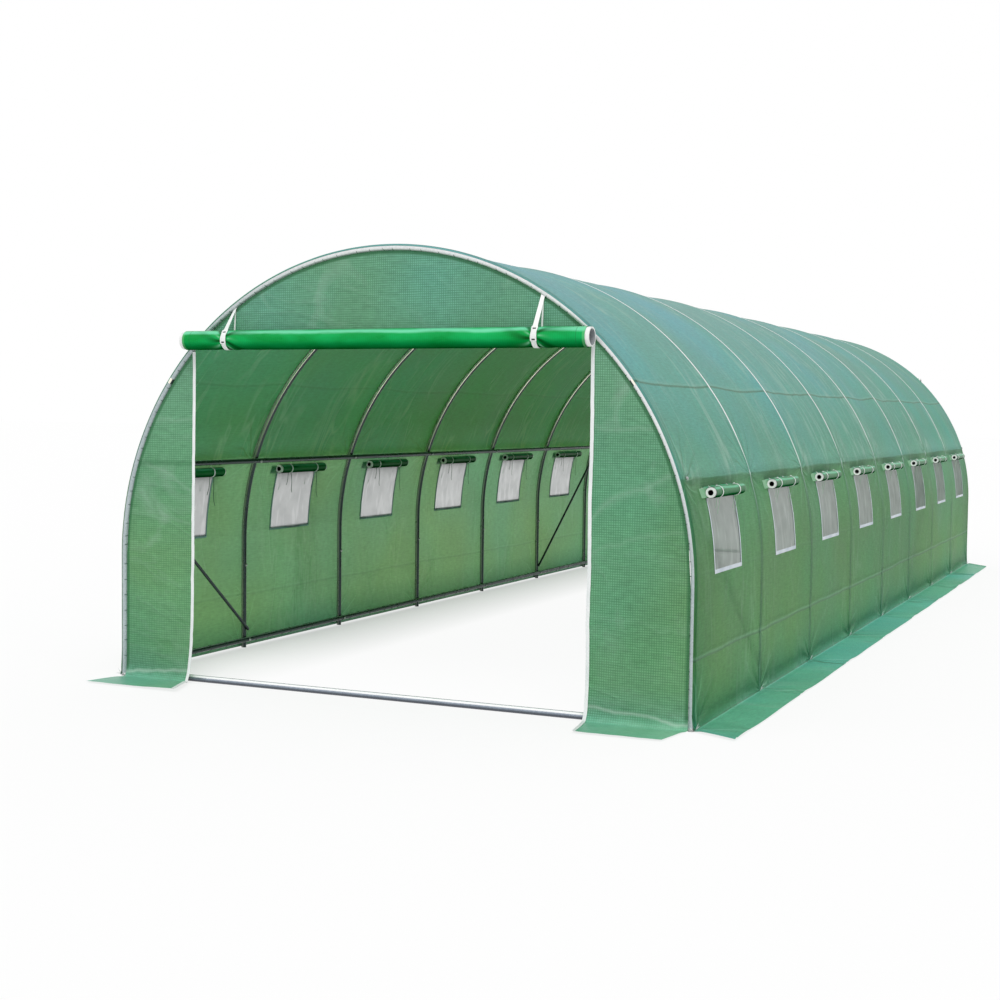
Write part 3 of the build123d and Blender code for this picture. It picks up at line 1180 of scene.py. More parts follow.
def skirtLift(y, out, seed):
    # height of a side skirt over the ground, out from 0 at the wall to 1 at its edge
    off, number = fromHoop(y)
    fold = 0.008 * bell(off, 0.014) * (1 - 0.4 * out)
    wave = 0.0035 + 0.004 * (1 + ripple(y * 2.3, out * 1.2, 5.0 + seed))
    lifted = 0.012 * bell(off - 0.12, 0.1) * out ** 2 * (0.4 + abs(ripple(number * 3.7, seed)))
    pucker = 0.004 * math.sin(y * 34 + 3 * ripple(y * 2, 0)) * math.exp(-out / 0.3)
    return max(0.001, min(out * 6, 1.0) * (fold + wave + pucker) + lifted)


def coverPoint(y, along, stand=0.0):
    side = -1 if along > aroundArch / 2 else 1
    up = flipped(along, side)
    leg, radius, wrap, half = tunnel["legHeight"], cover["radius"], cover["wrap"], tunnel["halfLength"]
    past = abs(y) - half
    swell = coverSwell(within(y, -half, half), along if up > 0 else flipped(0.0001, side))
    off = abs(fromHoop(y)[0])
    if past > 0:
        # the hem turns round the front of the end hoop; past is the angle here
        edge = math.copysign(half, y)
        y = edge + math.copysign(wrap * math.sin(past), y)
        swell = 0.0003 - wrap * (1 - math.cos(past)) * within(up / 0.06)
        swell += 0.0006 * ripple(up * 9, past, edge)
    elif off < wrap:
        # and the sheet never dips into a tube
        swell = max(swell, tunnel["hoopRadius"] + math.sqrt(wrap ** 2 - off ** 2) - radius)
    if up > leg:
        angle = (up - leg) / radius
        reach = radius + swell + stand
        return Vector((side * reach * math.cos(angle), y, leg + reach * math.sin(angle)))
    swell *= within(up / 0.03)
    x = radius + soft(-up, 0.005) + swell + stand
    z = soft(up, 0.005) + 0.0008
    if up < 0:
        out = -up / cover["skirt"]
        z += skirtLift(y, out, 3.0 * side)
        x += 0.006 * out * ripple(y * 1.7, 9.0, side)
        front, rear = y + half, half - y
        y -= cover["skirtLead"][side] * out * math.exp(-front / 0.4)
        y -= cover["skirtCut"] * out * math.exp(-rear / 0.5)
    return Vector((side * x, y, z))


# columns lie closer beside the hoops, and run on round the end hoops as a hem
halfBaySteps = [0, 0.005, 0.012, 0.022, 0.036, 0.055, 0.08, 0.11, 0.145]
halfBaySteps += [0.185, 0.23, 0.28, 0.33, 0.375, 0.425, 0.475, 0.525, 0.575]
hemSteps = [0.2, 0.45, 0.7, 0.95, 1.2]
coverColumns = [-tunnel["halfLength"] - a for a in hemSteps[::-1]]
for hoopY in hoopPlaces[:-1]:
    coverColumns += [hoopY + step for step in halfBaySteps]
    coverColumns += [hoopY + tunnel["bay"] - step for step in [0.625] + halfBaySteps[:0:-1]]
coverColumns += [hoopPlaces[-1]] + [tunnel["halfLength"] + a for a in hemSteps]

roofCount = 124
roofSpan = aroundArch - 2 * seamAlong
roofRows = [seamAlong + roofSpan * i / roofCount for i in range(roofCount + 1)]

wallRows = [-cover["skirt"] * s for s in (1, 0.96, 0.88, 0.78, 0.67, 0.56, 0.45, 0.34, 0.24, 0.15, 0.08, 0.035)]
wallRows += [0, 0.008, 0.018, 0.03, 0.045, 0.065, 0.09]
for low, high, count in (
    (0.09, cover["lowCreaseZ"], 10),
    (cover["lowCreaseZ"], windowAlong[0], 15),
    (windowAlong[0], windowAlong[1], 14),
    (windowAlong[1], seamAlong, 8),
):
    wallRows += [low + (high - low) * (i + 1) / count for i in range(count)]


def inWindow(y, along):
    up = min(along, aroundArch - along)
    if not windowAlong[0] < up < windowAlong[1]:
        return False
    return any(abs(y - middle) < cover["windowHalf"] for middle in windowPlaces)


def makeRoof():
    roof = makeGrid("roofCoverSheet", coverColumns, roofRows, coverPoint)
    finishPiece(roof, 50, coverSheet, "roof_sheet", "roof_cover")


def makeWall(side, sideName):
    rows = [flipped(row, side) for row in wallRows]
    wall = makeGrid(f"{sideName}WallSheet", coverColumns[::side], rows, coverPoint, inWindow)
    finishPiece(wall, 50, coverSheet, "wall_sheet", f"{sideName}_wall_cover", f"{sideName}_skirt")
    tall = seamAlong + cover["skirt"]
    holes = 8 * 2 * cover["windowHalf"] * (windowAlong[1] - windowAlong[0])
    10.0 * tall - holes


makeRoof()
for side, sideName in sides:
    makeWall(side, sideName)
print("cover made")


# Window nets with their hems, outside and inside

window = {
    "netOver": 0.004,
    "hemOver": 0.005,
    "hemSide": 0.006,
    "hemLow": {"outer": 0.016, "inner": 0.006},
    "hemStand": {"outer": 0.0022, "inner": -0.0034},
    "hemThickness": 0.0012,
}


def makeNet(middle, side):
    low, high = windowAlong
    half, over = cover["windowHalf"], window["netOver"]
    columns = [middle - half - over + 2 * (half + over) * i / 10 for i in range(11)]
    rows = [flipped(low - over + (high - low + 2 * over) * i / 8, side) for i in range(9)]

    def netPlace(y, along):
        share = 1 - abs(y - middle) / (half + over)
        slack = 0.003 * share + 0.0035 * share * ripple(y * 6, along * 5, 11.0 + side)
        return coverPoint(y, along, -0.0012 - slack)

    return makeGrid("net", columns[::side], rows, netPlace)


def makeHem(middle, side, kind):
    low, high = windowAlong
    half, over, inset = cover["windowHalf"], window["hemOver"], window["hemSide"]
    hemLow, stand = window["hemLow"][kind], window["hemStand"][kind]
    edges = [-half - over, -half + inset * 0.4, -half + inset]
    columns = [middle + e for e in edges]
    columns += [middle - half + inset + (2 * half - 2 * inset) * i / 8 for i in range(1, 8)]
    columns += [middle - e for e in reversed(edges)]
    rows = [low - over, low + hemLow * 0.5, low + hemLow]
    rows += [low + hemLow + (high - low - hemLow) * i / 6 for i in range(1, 7)]

    def isOpen(y, along):
        return abs(y - middle) < half - inset + 0.001 and flipped(along, side) > low + hemLow

    def hemPlace(y, along):
        return coverPoint(y, along, stand + 0.0006 * ripple(y * 20, along * 20))

    return makeGrid("hem", columns[::side], [flipped(row, side) for row in rows], hemPlace, isOpen)


def makeWindows(side, sideName):
    net = joinPieces(f"{sideName}WindowNets", [makeNet(middle, side) for middle in windowPlaces])
    for kind, where, material in (("outer", "Outside", hemTape), ("inner", "Inside", innerHem)):
        hem = joinPieces(f"{sideName}WindowHems{where}", [makeHem(middle, side, kind) for middle in windowPlaces])
        thicken(hem, window["hemThickness"])
        finishPiece(hem, 50, material, "window_netting")
    finishPiece(net, 60, netting, "window_netting", f"window_nets_{sideName}")
    tall = windowAlong[1] - windowAlong[0] + 2 * window["netOver"]
    wide = 2 * cover["windowHalf"] + 2 * window["netOver"]
    8 * wide


for side, sideName in sides:
    makeWindows(side, sideName)
print("windows made")


# Flaps rolled up on their cores, with two ties on each

def makeFlapModel():
    # a roll along Y round the origin, its free edge at the back
    columns = [flap["length"] * (i / 16 - 0.5) for i in range(17)]
    for at in flap["tieAt"]:
        nearest = min(range(17), key=lambda i: abs(columns[i] - at))
        columns[nearest] = at
    wound = [flap["turns"] * i / 50 for i in range(51)]

    def rollPlace(y, turns):
        share = turns / flap["turns"]
        radius = flap["coreRadius"] + (flap["outerRadius"] - flap["coreRadius"]) * share
        angle = 2 * math.pi * (turns - flap["turns"]) + 2.2
        squeeze = sum(bell(y - at, 0.02) for at in flap["tieAt"])
        crumple = ripple(y * 7, math.cos(angle) * 0.8, math.sin(angle) * 0.8)
        radius += 0.0008 * share * crumple - 0.0008 * share * squeeze
        return Vector((radius * math.cos(angle), y, radius * math.sin(angle)))

    roll = makeGrid("flapRoll", columns, wound, rollPlace)
    smooth(roll, 60)
    return roll


def makeTieModel():
    # two flat bands round the roll, with a small bow at the top
    bands = []
    for at in flap["tieAt"]:
        clearSelection()
        bpy.ops.mesh.primitive_cylinder_add(
            vertices=20,
            radius=flap["outerRadius"] + 0.0006,
            depth=flap["tieWidth"],
            end_fill_type="NOTHING",
            location=(0, at, 0),
            rotation=(math.pi / 2, 0, 0),
        )
        band = bpy.context.object
        settle(band)
        applyModifier(band, "SOLIDIFY", thickness=0.0012, offset=1.0)
        clearSelection()
        bpy.ops.mesh.primitive_uv_sphere_add(
            segments=8, ring_count=5, radius=0.0045, location=(0.004, at, flap["outerRadius"] + 0.003)
        )
        knot = bpy.context.object
        knot.scale = (1.2, 0.9, 0.7)
        settle(knot)
        bands += [band, knot]
    return joinPieces("tieModel", bands)


def makeTailModel(lengths, lean):
    # the ties' loose ends, flat tapes that hang from the roll
    tails = []
    for k, (at, length) in enumerate(zip(flap["tieAt"], lengths)):
        for strand in (-1, 1):
            drops = [length * (1 if strand > 0 else flap["shortTail"]) * i / 8 for i in range(9)]

            def tailPlace(w, drop):
                share = drop / length
                y = at + w + strand * (0.012 + 0.05 * share ** 1.3) + 0.012 * math.sin(share * 5 + k) * share
                x = 0.004 + lean * share + 0.004 * math.sin(share * 4 + strand)
                return Vector((x, y, -flap["outerRadius"] * 0.75 - drop * 0.96))

            tails.append(makeGrid("tail", [-flap["tailWidth"] / 2, flap["tailWidth"] / 2], drops, tailPlace))
    return joinPieces("tailModel", tails)


def makeFlaps():
    rollModel, tieModel = makeFlapModel(), makeTieModel()
    tailModels = {kind: makeTailModel(*flap["tails"][kind]) for kind in ("outer", "inner")}
    randomTurn = random.Random(4)
    for side, sideName in sides:
        rolls = []
        ties = {"outer": [], "inner": []}
        tails = {"outer": [], "inner": []}
        for middle in windowPlaces:
            for kind, x in flap["at"].items():
                face = 0 if (side > 0) == (kind == "outer") else math.pi
                place = Matrix.Translation((side * x, middle + flap["shift"], flap["z"]))
                place = place @ Matrix.Rotation(face, 4, "Z")
                turn = Matrix.Rotation(randomTurn.uniform(-0.5, 0.5), 4, "Y")
                rolls.append(copyTo(rollModel, "roll", place @ turn))
                turn = Matrix.Rotation(randomTurn.uniform(-0.4, 0.4), 4, "Y")
                ties[kind].append(copyTo(tieModel, "tie", place @ turn))
                tails[kind].append(copyTo(tailModels[kind], "tail", place))
        roll = joinPieces(f"{sideName}FlapRolls", rolls)
        finishPiece(roll, None, flapRollSheet, "window_flap_sheet", f"window_flaps_{sideName}")
        for kind, where, material in (("outer", "Outside", whiteStrap), ("inner", "Inside", whiteTape)):
            band = joinPieces(f"{sideName}FlapTies{where}", ties[kind])
            outwardNormals(band)
            finishPiece(band, 50, material, "strap")
        for kind, where, material in (("inner", "Inside", greenTie), ("outer", "Outside", palePatch)):
            piece = joinPieces(f"{sideName}TieEnds{where}", tails[kind])
            thicken(piece, 0.0008)
            finishPiece(piece, None, material, "strap")
    dropModels(rollModel, tieModel, *tailModels.values())


makeFlaps()


# Pale flaps of sheet that show beside each outer roll

patch = {"z": 1.152, "tall": 0.052, "wide": 0.085, "start": -0.335}


def makePatch(middle, side):
    start, wide = middle + patch["start"], patch["wide"]
    columns = [start + wide * i / 6 for i in range(7)]
    rows = [flipped(alongArch(patch["z"]) + patch["tall"] * i / 4, side) for i in range(5)]

    def patchPlace(y, along):
        return coverPoint(y, along, 0.003 + 0.012 * max(0.0, (y - start) / wide) ** 2)

    return makeGrid("patch", columns[::side], rows, patchPlace)


for side, sideName in sides:
    piece = joinPieces(f"{sideName}FlapEnds", [makePatch(middle, side) for middle in windowPlaces])
    thicken(piece, 0.0012)
    finishPiece(piece, 50, palePatch, "window_flap_sheet")
print("flaps made")


# End walls: gable, two panels that bend out into their skirts, and the door's white edge tapes

endWall = {
    "hoop": {-1: "hoop_1", 1: "hoop_9"},
    "doorHalf": 1.212,
    "headZ": 1.9413,
    "ring": 1.7213,
    "skirt": 0.299,
    # how far the skirt's outer corners shift along X: at the door, at the hoop
    "flare": {1: (0.05, -0.04), -1: (0.09, -0.058)},
    "bend": {1: (0.04, 0.012), -1: (0.075, 0.02)},
    "tapeWidth": 0.019,
    "tapeOver": 0.007,
    "tapeThickness": 0.0022,
}
panelLow = [-endWall["skirt"] * s for s in (1, 0.95, 0.86, 0.75, 0.63, 0.51, 0.4, 0.3, 0.21, 0.13, 0.07, 0.03)]
panelHigh = [0, 0.006, 0.013, 0.021, 0.031, 0.043, 0.058, 0.078] + [0.1 + 0.9 * i / 64 for i in range(65)]


def archTop(x):
    return tunnel["legHeight"] + math.sqrt(max(endWall["ring"] ** 2 - x * x, 0.0))


def doorEdge(side):
    return doorRoll["middle"] + side * endWall["doorHalf"]


def fromDoor(x, side):
    # 0 at the door's edge, 1 at the hoop
    edge = abs(doorEdge(side))
    return within((abs(x) - edge) / (endWall["ring"] - edge))


def panelSwell(x, up, end, side):
    # how far the panel stands out from the plane of the end hoop
    across = fromDoor(x, side)
    rise = within(up / 1.7)
    seed = 5.0 * end + 2.0 * side
    swell = 0.012 * math.sin(math.pi * min(across * 0.8 + 0.2, 1.0)) * math.sin(math.pi * min(rise + 0.12, 1.0))
    swell += 0.006 * ripple(x * 3.0, up * 1.6, seed) * (1 - across)
    swell += 0.003 * streak(ripple(x * 5.0 - up * 6.0, up * 1.3, 12.0 + seed), 3)
    # slack folds that fall from the hoop to the door edge
    for low, high, wide, strength in panelFinish["folds"]:
        fall = up - low - (high - low) * across ** 0.6
        swell += 0.012 * strength * bell(fall, wide)
    swell += (0.004 if side < 0 else 0.012) * (1 - min(up / 0.35, 1.0)) ** 2 * (1 - 0.5 * across)
    return swell * (1 - bell(across - 1, 0.06))


def panelPoint(x, up, end, side, stand=0.0):
    across = fromDoor(x, side)
    near, far = endWall["bend"][side]
    bend = near + (far - near) * across
    y = tunnel["halfLength"] + soft(-up, bend) + panelSwell(x, max(up, 0.0), end, side) + stand
    z = soft(up, bend) - bend * math.exp(-abs(up) / 0.12) * 0.85 + 0.0008
    if up < 0:
        out = -up / endWall["skirt"]
        seed = 4.0 * end + side
        z += min(out * 4, 1.0) * (0.004 + 0.004 * (1 + ripple(x * 4, out * 1.3, seed))) + stand
        z += 0.006 * out * abs(ripple(x * 7, 3.0, seed))
        atDoor, atHoop = endWall["flare"][side]
        x += out * (atDoor + (atHoop - atDoor) * across)
        y -= stand
    return Vector((x, end * y, max(z, 0.0008)))


def makePanel(end, endName, side, sideName):
    edge, far = doorEdge(side), side * endWall["ring"]
    columns = [edge + (far - edge) * i / 34 for i in range(35)]
    rows = panelLow + panelHigh

    def top(x):
        return min(archTop(x), endWall["headZ"])

    def rise(x, row):
        return rows[row] if rows[row] <= 0 else rows[row] * top(x)

    panel = makeGrid(
        f"{endName}Panel{sideName.capitalize()}",
        columns[:: -end * side],
        range(len(rows)),
        lambda x, row: panelPoint(x, rise(x, row), end, side),
        mapTo=lambda x, row: (x, rise(x, row)),
    )
    finishPiece(panel, 50, panelSheet, "end_wall_sheet", f"{endName}_panel_{sideName}", f"{endName}_skirts")
    wide, tall = abs(far - edge), endWall["headZ"] + endWall["skirt"]
    area = sum(abs(columns[1] - columns[0]) * (top(x) + endWall["skirt"]) for x in columns[:-1])
    min(area, wide * tall)
    makeDoorTape(end, endName, side, sideName)


def makeDoorTape(end, endName, side, sideName):
    edge, over, width = doorEdge(side), endWall["tapeOver"], endWall["tapeWidth"]
    columns = [edge + side * (-over + width * i / 4) for i in range(5)]
    top = min(archTop(edge) - 0.01, endWall["headZ"])
    rows = [v if v <= 0 else v * top for v in panelLow + panelHigh]

    def tapePlace(x, up):
        middle = abs(x - (edge + side * (width / 2 - over))) / (width / 2)
        spot = panelPoint(x, up, end, side, 0.0018 + 0.0012 * (1 - middle ** 2))
        spot.x += 0.0035 * ripple(up * 3.1, 2.0 * side, 6.0 + end) + 0.0015 * ripple(up * 11, side, end)
        return spot

    tape = makeGrid(f"{endName}DoorTape{sideName.capitalize()}", columns[:: -end * side], rows, tapePlace)
    thicken(tape, endWall["tapeThickness"])
    return finishPiece(tape, 50, whiteTape, "strap")


def makeGable(end, endName):
    low = endWall["headZ"]
    half = math.sqrt(endWall["ring"] ** 2 - (low - tunnel["legHeight"]) ** 2) - 0.004
    columns = [half * math.sin(math.pi / 2 * (i / 60 - 1)) for i in range(121)]

    def rise(x, share):
        return low + (archTop(x) - low) * share

    def gablePlace(x, share):
        z = rise(x, share)
        inner = 1 - (math.hypot(x, z - tunnel["legHeight"]) / endWall["ring"]) ** 8
        swell = 0.01 * inner * math.cos(x * 1.1) + 0.004 * inner * ripple(x * 2.4, z * 3, 2.0 * end)
        swell += 0.0025 * inner * streak(ripple(x * 2.0 + z * 5, z * 2, 20.0 + end), 3)
        return Vector((x, end * (tunnel["halfLength"] + swell), z))

    gable = makeGrid(
        f"{endName}GableSheet",
        columns[::-end],
        [i / 26 for i in range(27)],
        gablePlace,
        mapTo=lambda x, share: (x, rise(x, share)),
    )
    finishPiece(gable, 50, panelSheet, "end_wall_sheet", f"{endName}_gable")
    area = sum(0.5 * (b - a) * (archTop(a) + archTop(b) - 2 * low) for a, b in zip(columns, columns[1:]))
    archTop(0) - low


for end, endName in ends:
    for side, sideName in sides:
        makePanel(end, endName, side, sideName)
    makeGable(end, endName)
print("end walls made")


# Lacing that holds the end walls to their hoops

lacing = {"pitch": 0.085, "cordRadius": 0.0013, "legLow": 0.12, "legPitch": 0.09}


def makeLacing(end, endName):
    hoop = tunnel["hoopRadius"]
    clearSelection()
    bpy.ops.mesh.primitive_torus_add(
        major_segments=16,
        minor_segments=4,
        major_radius=tunnel["tubeRadius"] + 0.0008,
        minor_radius=lacing["cordRadius"],
    )
    model = bpy.context.object
    deleteFaces(model, lambda face: face.center.x > -0.004)
    count = int(math.pi * hoop / lacing["pitch"])
    loose, turns = random.Random(21 + end), random.Random(9 + end)
    spots = [(math.pi * (i + 0.5 + loose.uniform(-0.3, 0.3)) / count, None) for i in range(count)]
    spots += [(angle, lacing["legLow"] + lacing["legPitch"] * i) for angle in (0.0, math.pi) for i in range(7)]
    ties = []
    for angle, low in spots:
        z = tunnel["legHeight"] + hoop * math.sin(angle) if low is None else low
        place = Matrix.Translation((hoop * math.cos(angle) * 0.9985, end * tunnel["halfLength"], z))
        tilt = Matrix.Rotation(-angle + turns.uniform(-0.25, 0.25), 4, "Y")
        lay = Matrix.Rotation(turns.uniform(-0.12, 0.12), 4, "X")
        ties.append(copyTo(model, "lace", place @ tilt @ lay))
    dropModels(model)
    finishPiece(joinPieces(f"{endName}Lacing", ties), 60, greenTie, "strap")


for end, endName in ends:
    makeLacing(end, endName)
print("lacing made")


# Rolled-up doors with their straps and buckles

def doorPleats(x, turn):
    # waves that fan out from each strap; turn is 0 at the roll's front and grows upwards
    reachOver, reachFrom, count, skew = doorRoll["pleatFan"]
    total = 0.0
    for at in strapPlaces:
        reach = abs(x - at)
        wave = math.sin(count * math.atan2(reachOver * turn, reach + reachFrom) + skew * (x - at))
        total += wave * math.exp(-reach / doorRoll["pleatReach"]) * within((reach - 0.008) / 0.022)
    return total


def makeDoorRoll(end, endName):
    half, middle = doorRoll["halfLength"], doorRoll["middle"]
    columns = [middle - half + 2 * half * i / 96 for i in range(97)]
    for at in strapPlaces:
        nearest = min(range(97), key=lambda i: abs(columns[i] - at))
        columns[nearest - 1 : nearest + 2] = at - 0.018, at, at + 0.018
    wound = [doorRoll["turns"] * i / 180 for i in range(181)]
    room = doorRoll["outer"] - doorRoll["inner"]

    def rollPlace(x, turns):
        share = turns / doorRoll["turns"]
        angle = 2 * math.pi * (turns - doorRoll["turns"]) - 0.35
        c, s = math.cos(angle), math.sin(angle)
        crumple = ripple(x * 2.6, c * 0.8, s * 0.8 + 7 * end)
        pleats = doorPleats(x, math.atan2(s, -c))
        pinch = max(bell(x - at, 0.02) for at in strapPlaces)
        fill = 1.0 + 0.3 * crumple + 1.1 * pleats - 0.8 * pinch
        radius = doorRoll["inner"] + room * share * max(fill, 0.1)
        return Vector((x, end * (doorRoll["out"] - radius * c), doorRoll["z"] + radius * s))

    roll = makeGrid(f"{endName}DoorRollSheet", columns[::-end], wound, rollPlace)
    return finishPiece(roll, 60, doorRollSheet, "door_sheet", f"{endName}_door_roll")


def beltPath(topZ):
    # the strap's loop in the plane across the roll, from the front strand's foot on the roll, down and
    # round it, up the back and over a small bend at the head
    headY, headR = tunnel["halfLength"] + 0.0048, 0.0022
    rollY, rollZ, rollR = doorRoll["out"], doorRoll["z"], doorRoll["outer"] + 0.0008
    away = math.hypot(rollY - headY, rollZ - topZ)
    heading = math.atan2(topZ - rollZ, headY - rollY)
    spreadAngle = math.acos((rollR - headR) / away)
    points = []
    for i in range(25):
        angle = heading - spreadAngle - (2 * math.pi - 2 * spreadAngle) * i / 24
        points.append((rollY + rollR * math.cos(angle), rollZ + rollR * math.sin(angle)))
    for i in range(9):
        angle = heading + spreadAngle - 2 * spreadAngle * i / 8
        points.append((headY + headR * math.cos(angle), topZ + headR * math.sin(angle)))
    points.append(points[0])
    return points, heading - spreadAngle


def buckleSpot(length, stand, leaves):
    # a place along the front of the strap: up the roll first, then along the straight strand
    radius = doorRoll["outer"] + 0.0016
    start = math.radians(-24)
    arc = radius * (leaves - start)
    angle = start + min(length, arc) / radius
    c, s = math.cos(angle), math.sin(angle)
    past = max(length - arc, 0.0)
    return doorRoll["out"] + (radius + stand) * c - past * s, doorRoll["z"] + (radius + stand) * s + past * c


def makeBuckle(end, at, leaves):
    # a curved plate with two slots, and pieces of painted shade behind them
    long = doorRoll["buckle"]
    shares = [-1.0, -0.62, -0.54, 0.0, 0.54, 0.62, 1.0]
    steps = [0.0, 0.003, 0.02, 0.028, 0.036, 0.044, 0.052, 0.06, long - 0.003, long]
    for slot in doorRoll["slots"]:
        steps += [slot - 0.0035, slot - 0.0005, slot + 0.0045]

    def isSlot(share, length):
        return abs(share) < 0.54 and any(-0.0035 < length - slot < 0.0045 for slot in doorRoll["slots"])

    def platePlace(share, length):
        half = 0.0175 - 0.0025 * bell(length - 0.05, 0.012) - 0.003 * (length < 0.001 or length > long - 0.001)
        y, z = buckleSpot(length, 0.0016 + 0.0012 * (1 - share ** 2), leaves)
        return Vector((at + share * half, end * y, z))

    def slotShadePlace(w, length):
        y, z = buckleSpot(length, 0.0007, leaves)
        return Vector((at + w, end * y, z))

    plate = makeGrid("buckle", shares[::-end], sorted(steps), platePlace, isSlot)
    thicken(plate, 0.0024)
    applyModifier(plate, "BEVEL", width=0.0005, segments=2, limit_method="ANGLE")
    widths = [-0.0115, 0.0115][::-end]
    return plate, [makeGrid("dark", widths, [slot - 0.005, slot + 0.006], slotShadePlace) for slot in doorRoll["slots"]]


def makeStrap(end, at):
    over = math.sqrt(doorRoll["headRing"] ** 2 - at ** 2)
    headZ = tunnel["legHeight"] + over - doorRoll["headDrop"]
    path, leaves = beltPath(headZ)
    widths = [-doorRoll["strapWidth"] / 2, 0.0, doorRoll["strapWidth"] / 2]

    def strapPlace(w, i):
        # narrower towards its head, which follows the arch; the rear strand is a thin one
        y, z = path[i]
        rise = within((z - doorRoll["z"] - 0.03) / (headZ - doorRoll["z"] - 0.03))
        w *= (1 - 0.32 * rise) * (0.4 if 22 < i < 27 else 1.0)
        return Vector((at + w, end * y, z - rise * w * at / over))

    strap = makeGrid("strap", widths[::-end], range(len(path)), strapPlace, mapTo=lambda w, i: (w, i * 0.015))
    outwardNormals(strap)
    thicken(strap, doorRoll["strapThickness"])
    return strap, leaves


def makeDoorStraps(end, endName):
    straps, plates, slots = [], [], []
    for at in strapPlaces:
        strap, leaves = makeStrap(end, at)
        plate, behind = makeBuckle(end, at, leaves)
        straps.append(strap)
        plates.append(plate)
        slots += behind
    strap = joinPieces(f"{endName}DoorStrapLoops", straps)
    finishPiece(strap, 40, whiteStrap, "strap", f"{endName}_door_straps")
    buckle = finishPiece(joinPieces(f"{endName}Buckles", plates), 40, whiteStrap, "strap")
    slot = finishPiece(joinPieces(f"{endName}BuckleSlots", slots), None, slotShade, "strap")
    return [strap, buckle, slot]


for end, endName in ends:
    roll = makeDoorRoll(end, endName)
    2 * doorRoll["halfLength"]
    doorRoll["turns"] * 2 * math.pi * doorRoll["meanRadius"]
    makeDoorStraps(end, endName)
print("door rolls made")


# Bolts, joint collars, shoes and small ties on the frame

fitting = {
    "boltHead": 0.0095,
    "legBoltZ": 0.55,
    # how far the bolts of the end hoops stand out from the cover, and lie inwards along it
    "endBolt": (0.0085, 0.044),
    "collar": 0.0163,
    "collarAngle": 36.0,
    "railJoint": 0.075,
    "tiePitch": 0.16,
    "tieReach": 4.9,
}


def makeBoltModel():
    # a washer with a flattened dome on it, along +Z
    clearSelection()
    bpy.ops.mesh.primitive_cylinder_add(vertices=18, radius=0.011, depth=0.0016, location=(0, 0, 0.0008))
    washer = bpy.context.object
    applyModifier(washer, "BEVEL", width=0.0004, segments=1)
    clearSelection()
    bpy.ops.mesh.primitive_uv_sphere_add(
        segments=16, ring_count=8, radius=fitting["boltHead"], location=(0, 0, 0.0012)
    )
    dome = bpy.context.object
    bpy.ops.object.mode_set(mode="EDIT")
    bpy.ops.mesh.select_all(action="SELECT")
    bpy.ops.mesh.bisect(plane_co=(0, 0, 0.0014), plane_no=(0, 0, 1), clear_inner=True, use_fill=True)
    bpy.ops.object.mode_set(mode="OBJECT")
    for vertex in dome.data.vertices:
        vertex.co.z *= 0.75
    bolt = joinPieces("boltModel", [washer, dome])
    settle(bolt)
    return bolt


def makeCollarModel():
    # a rolled collar at a tube joint, along +Z
    clearSelection()
    bpy.ops.mesh.primitive_cylinder_add(
        vertices=28, radius=fitting["collar"], depth=0.034, end_fill_type="NOTHING"
    )
    collar = bpy.context.object
    applyModifier(collar, "SOLIDIFY", thickness=0.0008, offset=-1.0)
    applyModifier(collar, "BEVEL", width=0.0003, segments=1, limit_method="ANGLE")
    return collar


def makeFittings():
    bolt, collar = makeBoltModel(), makeCollarModel()
    bolts, collars = [], []
    hoop, rail, leg, tube = (tunnel[k] for k in ("hoopRadius", "railRing", "legHeight", "tubeRadius"))

    def put(model, spot, direction):
        # the model's own +Z turns to the direction
        turn = Vector(direction).to_track_quat("Z", "Y").to_matrix().to_4x4()
        pieces = bolts if model == bolt else collars
        pieces.append(copyTo(model, "fitting", Matrix.Translation(spot) @ turn))

    a, b = math.radians(tunnel["railAngle"]), math.radians(fitting["collarAngle"])
    stand, inwards = fitting["endBolt"]
    for y in hoopPlaces:
        isEnd = y in (hoopPlaces[0], hoopPlaces[-1])
        for side in (1, -1):
            ring = hoop - 0.0003
            spot = (side * ring * math.cos(b), y, leg + ring * math.sin(b))
            put(collar, spot, (-side * math.sin(b), 0, math.cos(b)))
            if isEnd:
                ring = cover["radius"] + stand
                spot = (side * ring * math.cos(a + 0.001), y - math.copysign(inwards, y), leg + ring * math.sin(a))
                put(bolt, spot, (side * math.cos(a), 0, math.sin(a)))
                continue
            # through the rail and the hoop, its head on the rail's inner side
            ring = rail - tube
            spot = (side * ring * math.cos(a), y, leg + ring * math.sin(a))
            put(bolt, spot, (-side * math.cos(a), 0, -math.sin(a)))
            put(bolt, (side * ring, y, tunnel["groundRailZ"]), (-side, 0, 0))
            put(bolt, (side * (hoop - tube), y, fitting["legBoltZ"]), (-side, 0, 0))
        if not isEnd:
            put(bolt, (0, y, leg + rail - tube), (0, 0, -1))
    # joints of the side rails and of the ridge, just past every inner hoop
    for y in hoopPlaces[1:-1]:
        for x, z in ((math.cos(a), math.sin(a)), (-math.cos(a), math.sin(a)), (0.0, 1.0)):
            put(collar, (rail * x, y + fitting["railJoint"], leg + rail * z), (0, 1, 0))
    dropModels(bolt, collar)
    finishPiece(joinPieces("frameBolts", bolts), 40, boltSteel, "bright_steel_tube")
    finishPiece(joinPieces("jointCollars", collars), 40, shadedSteel, "dark_steel_tube")


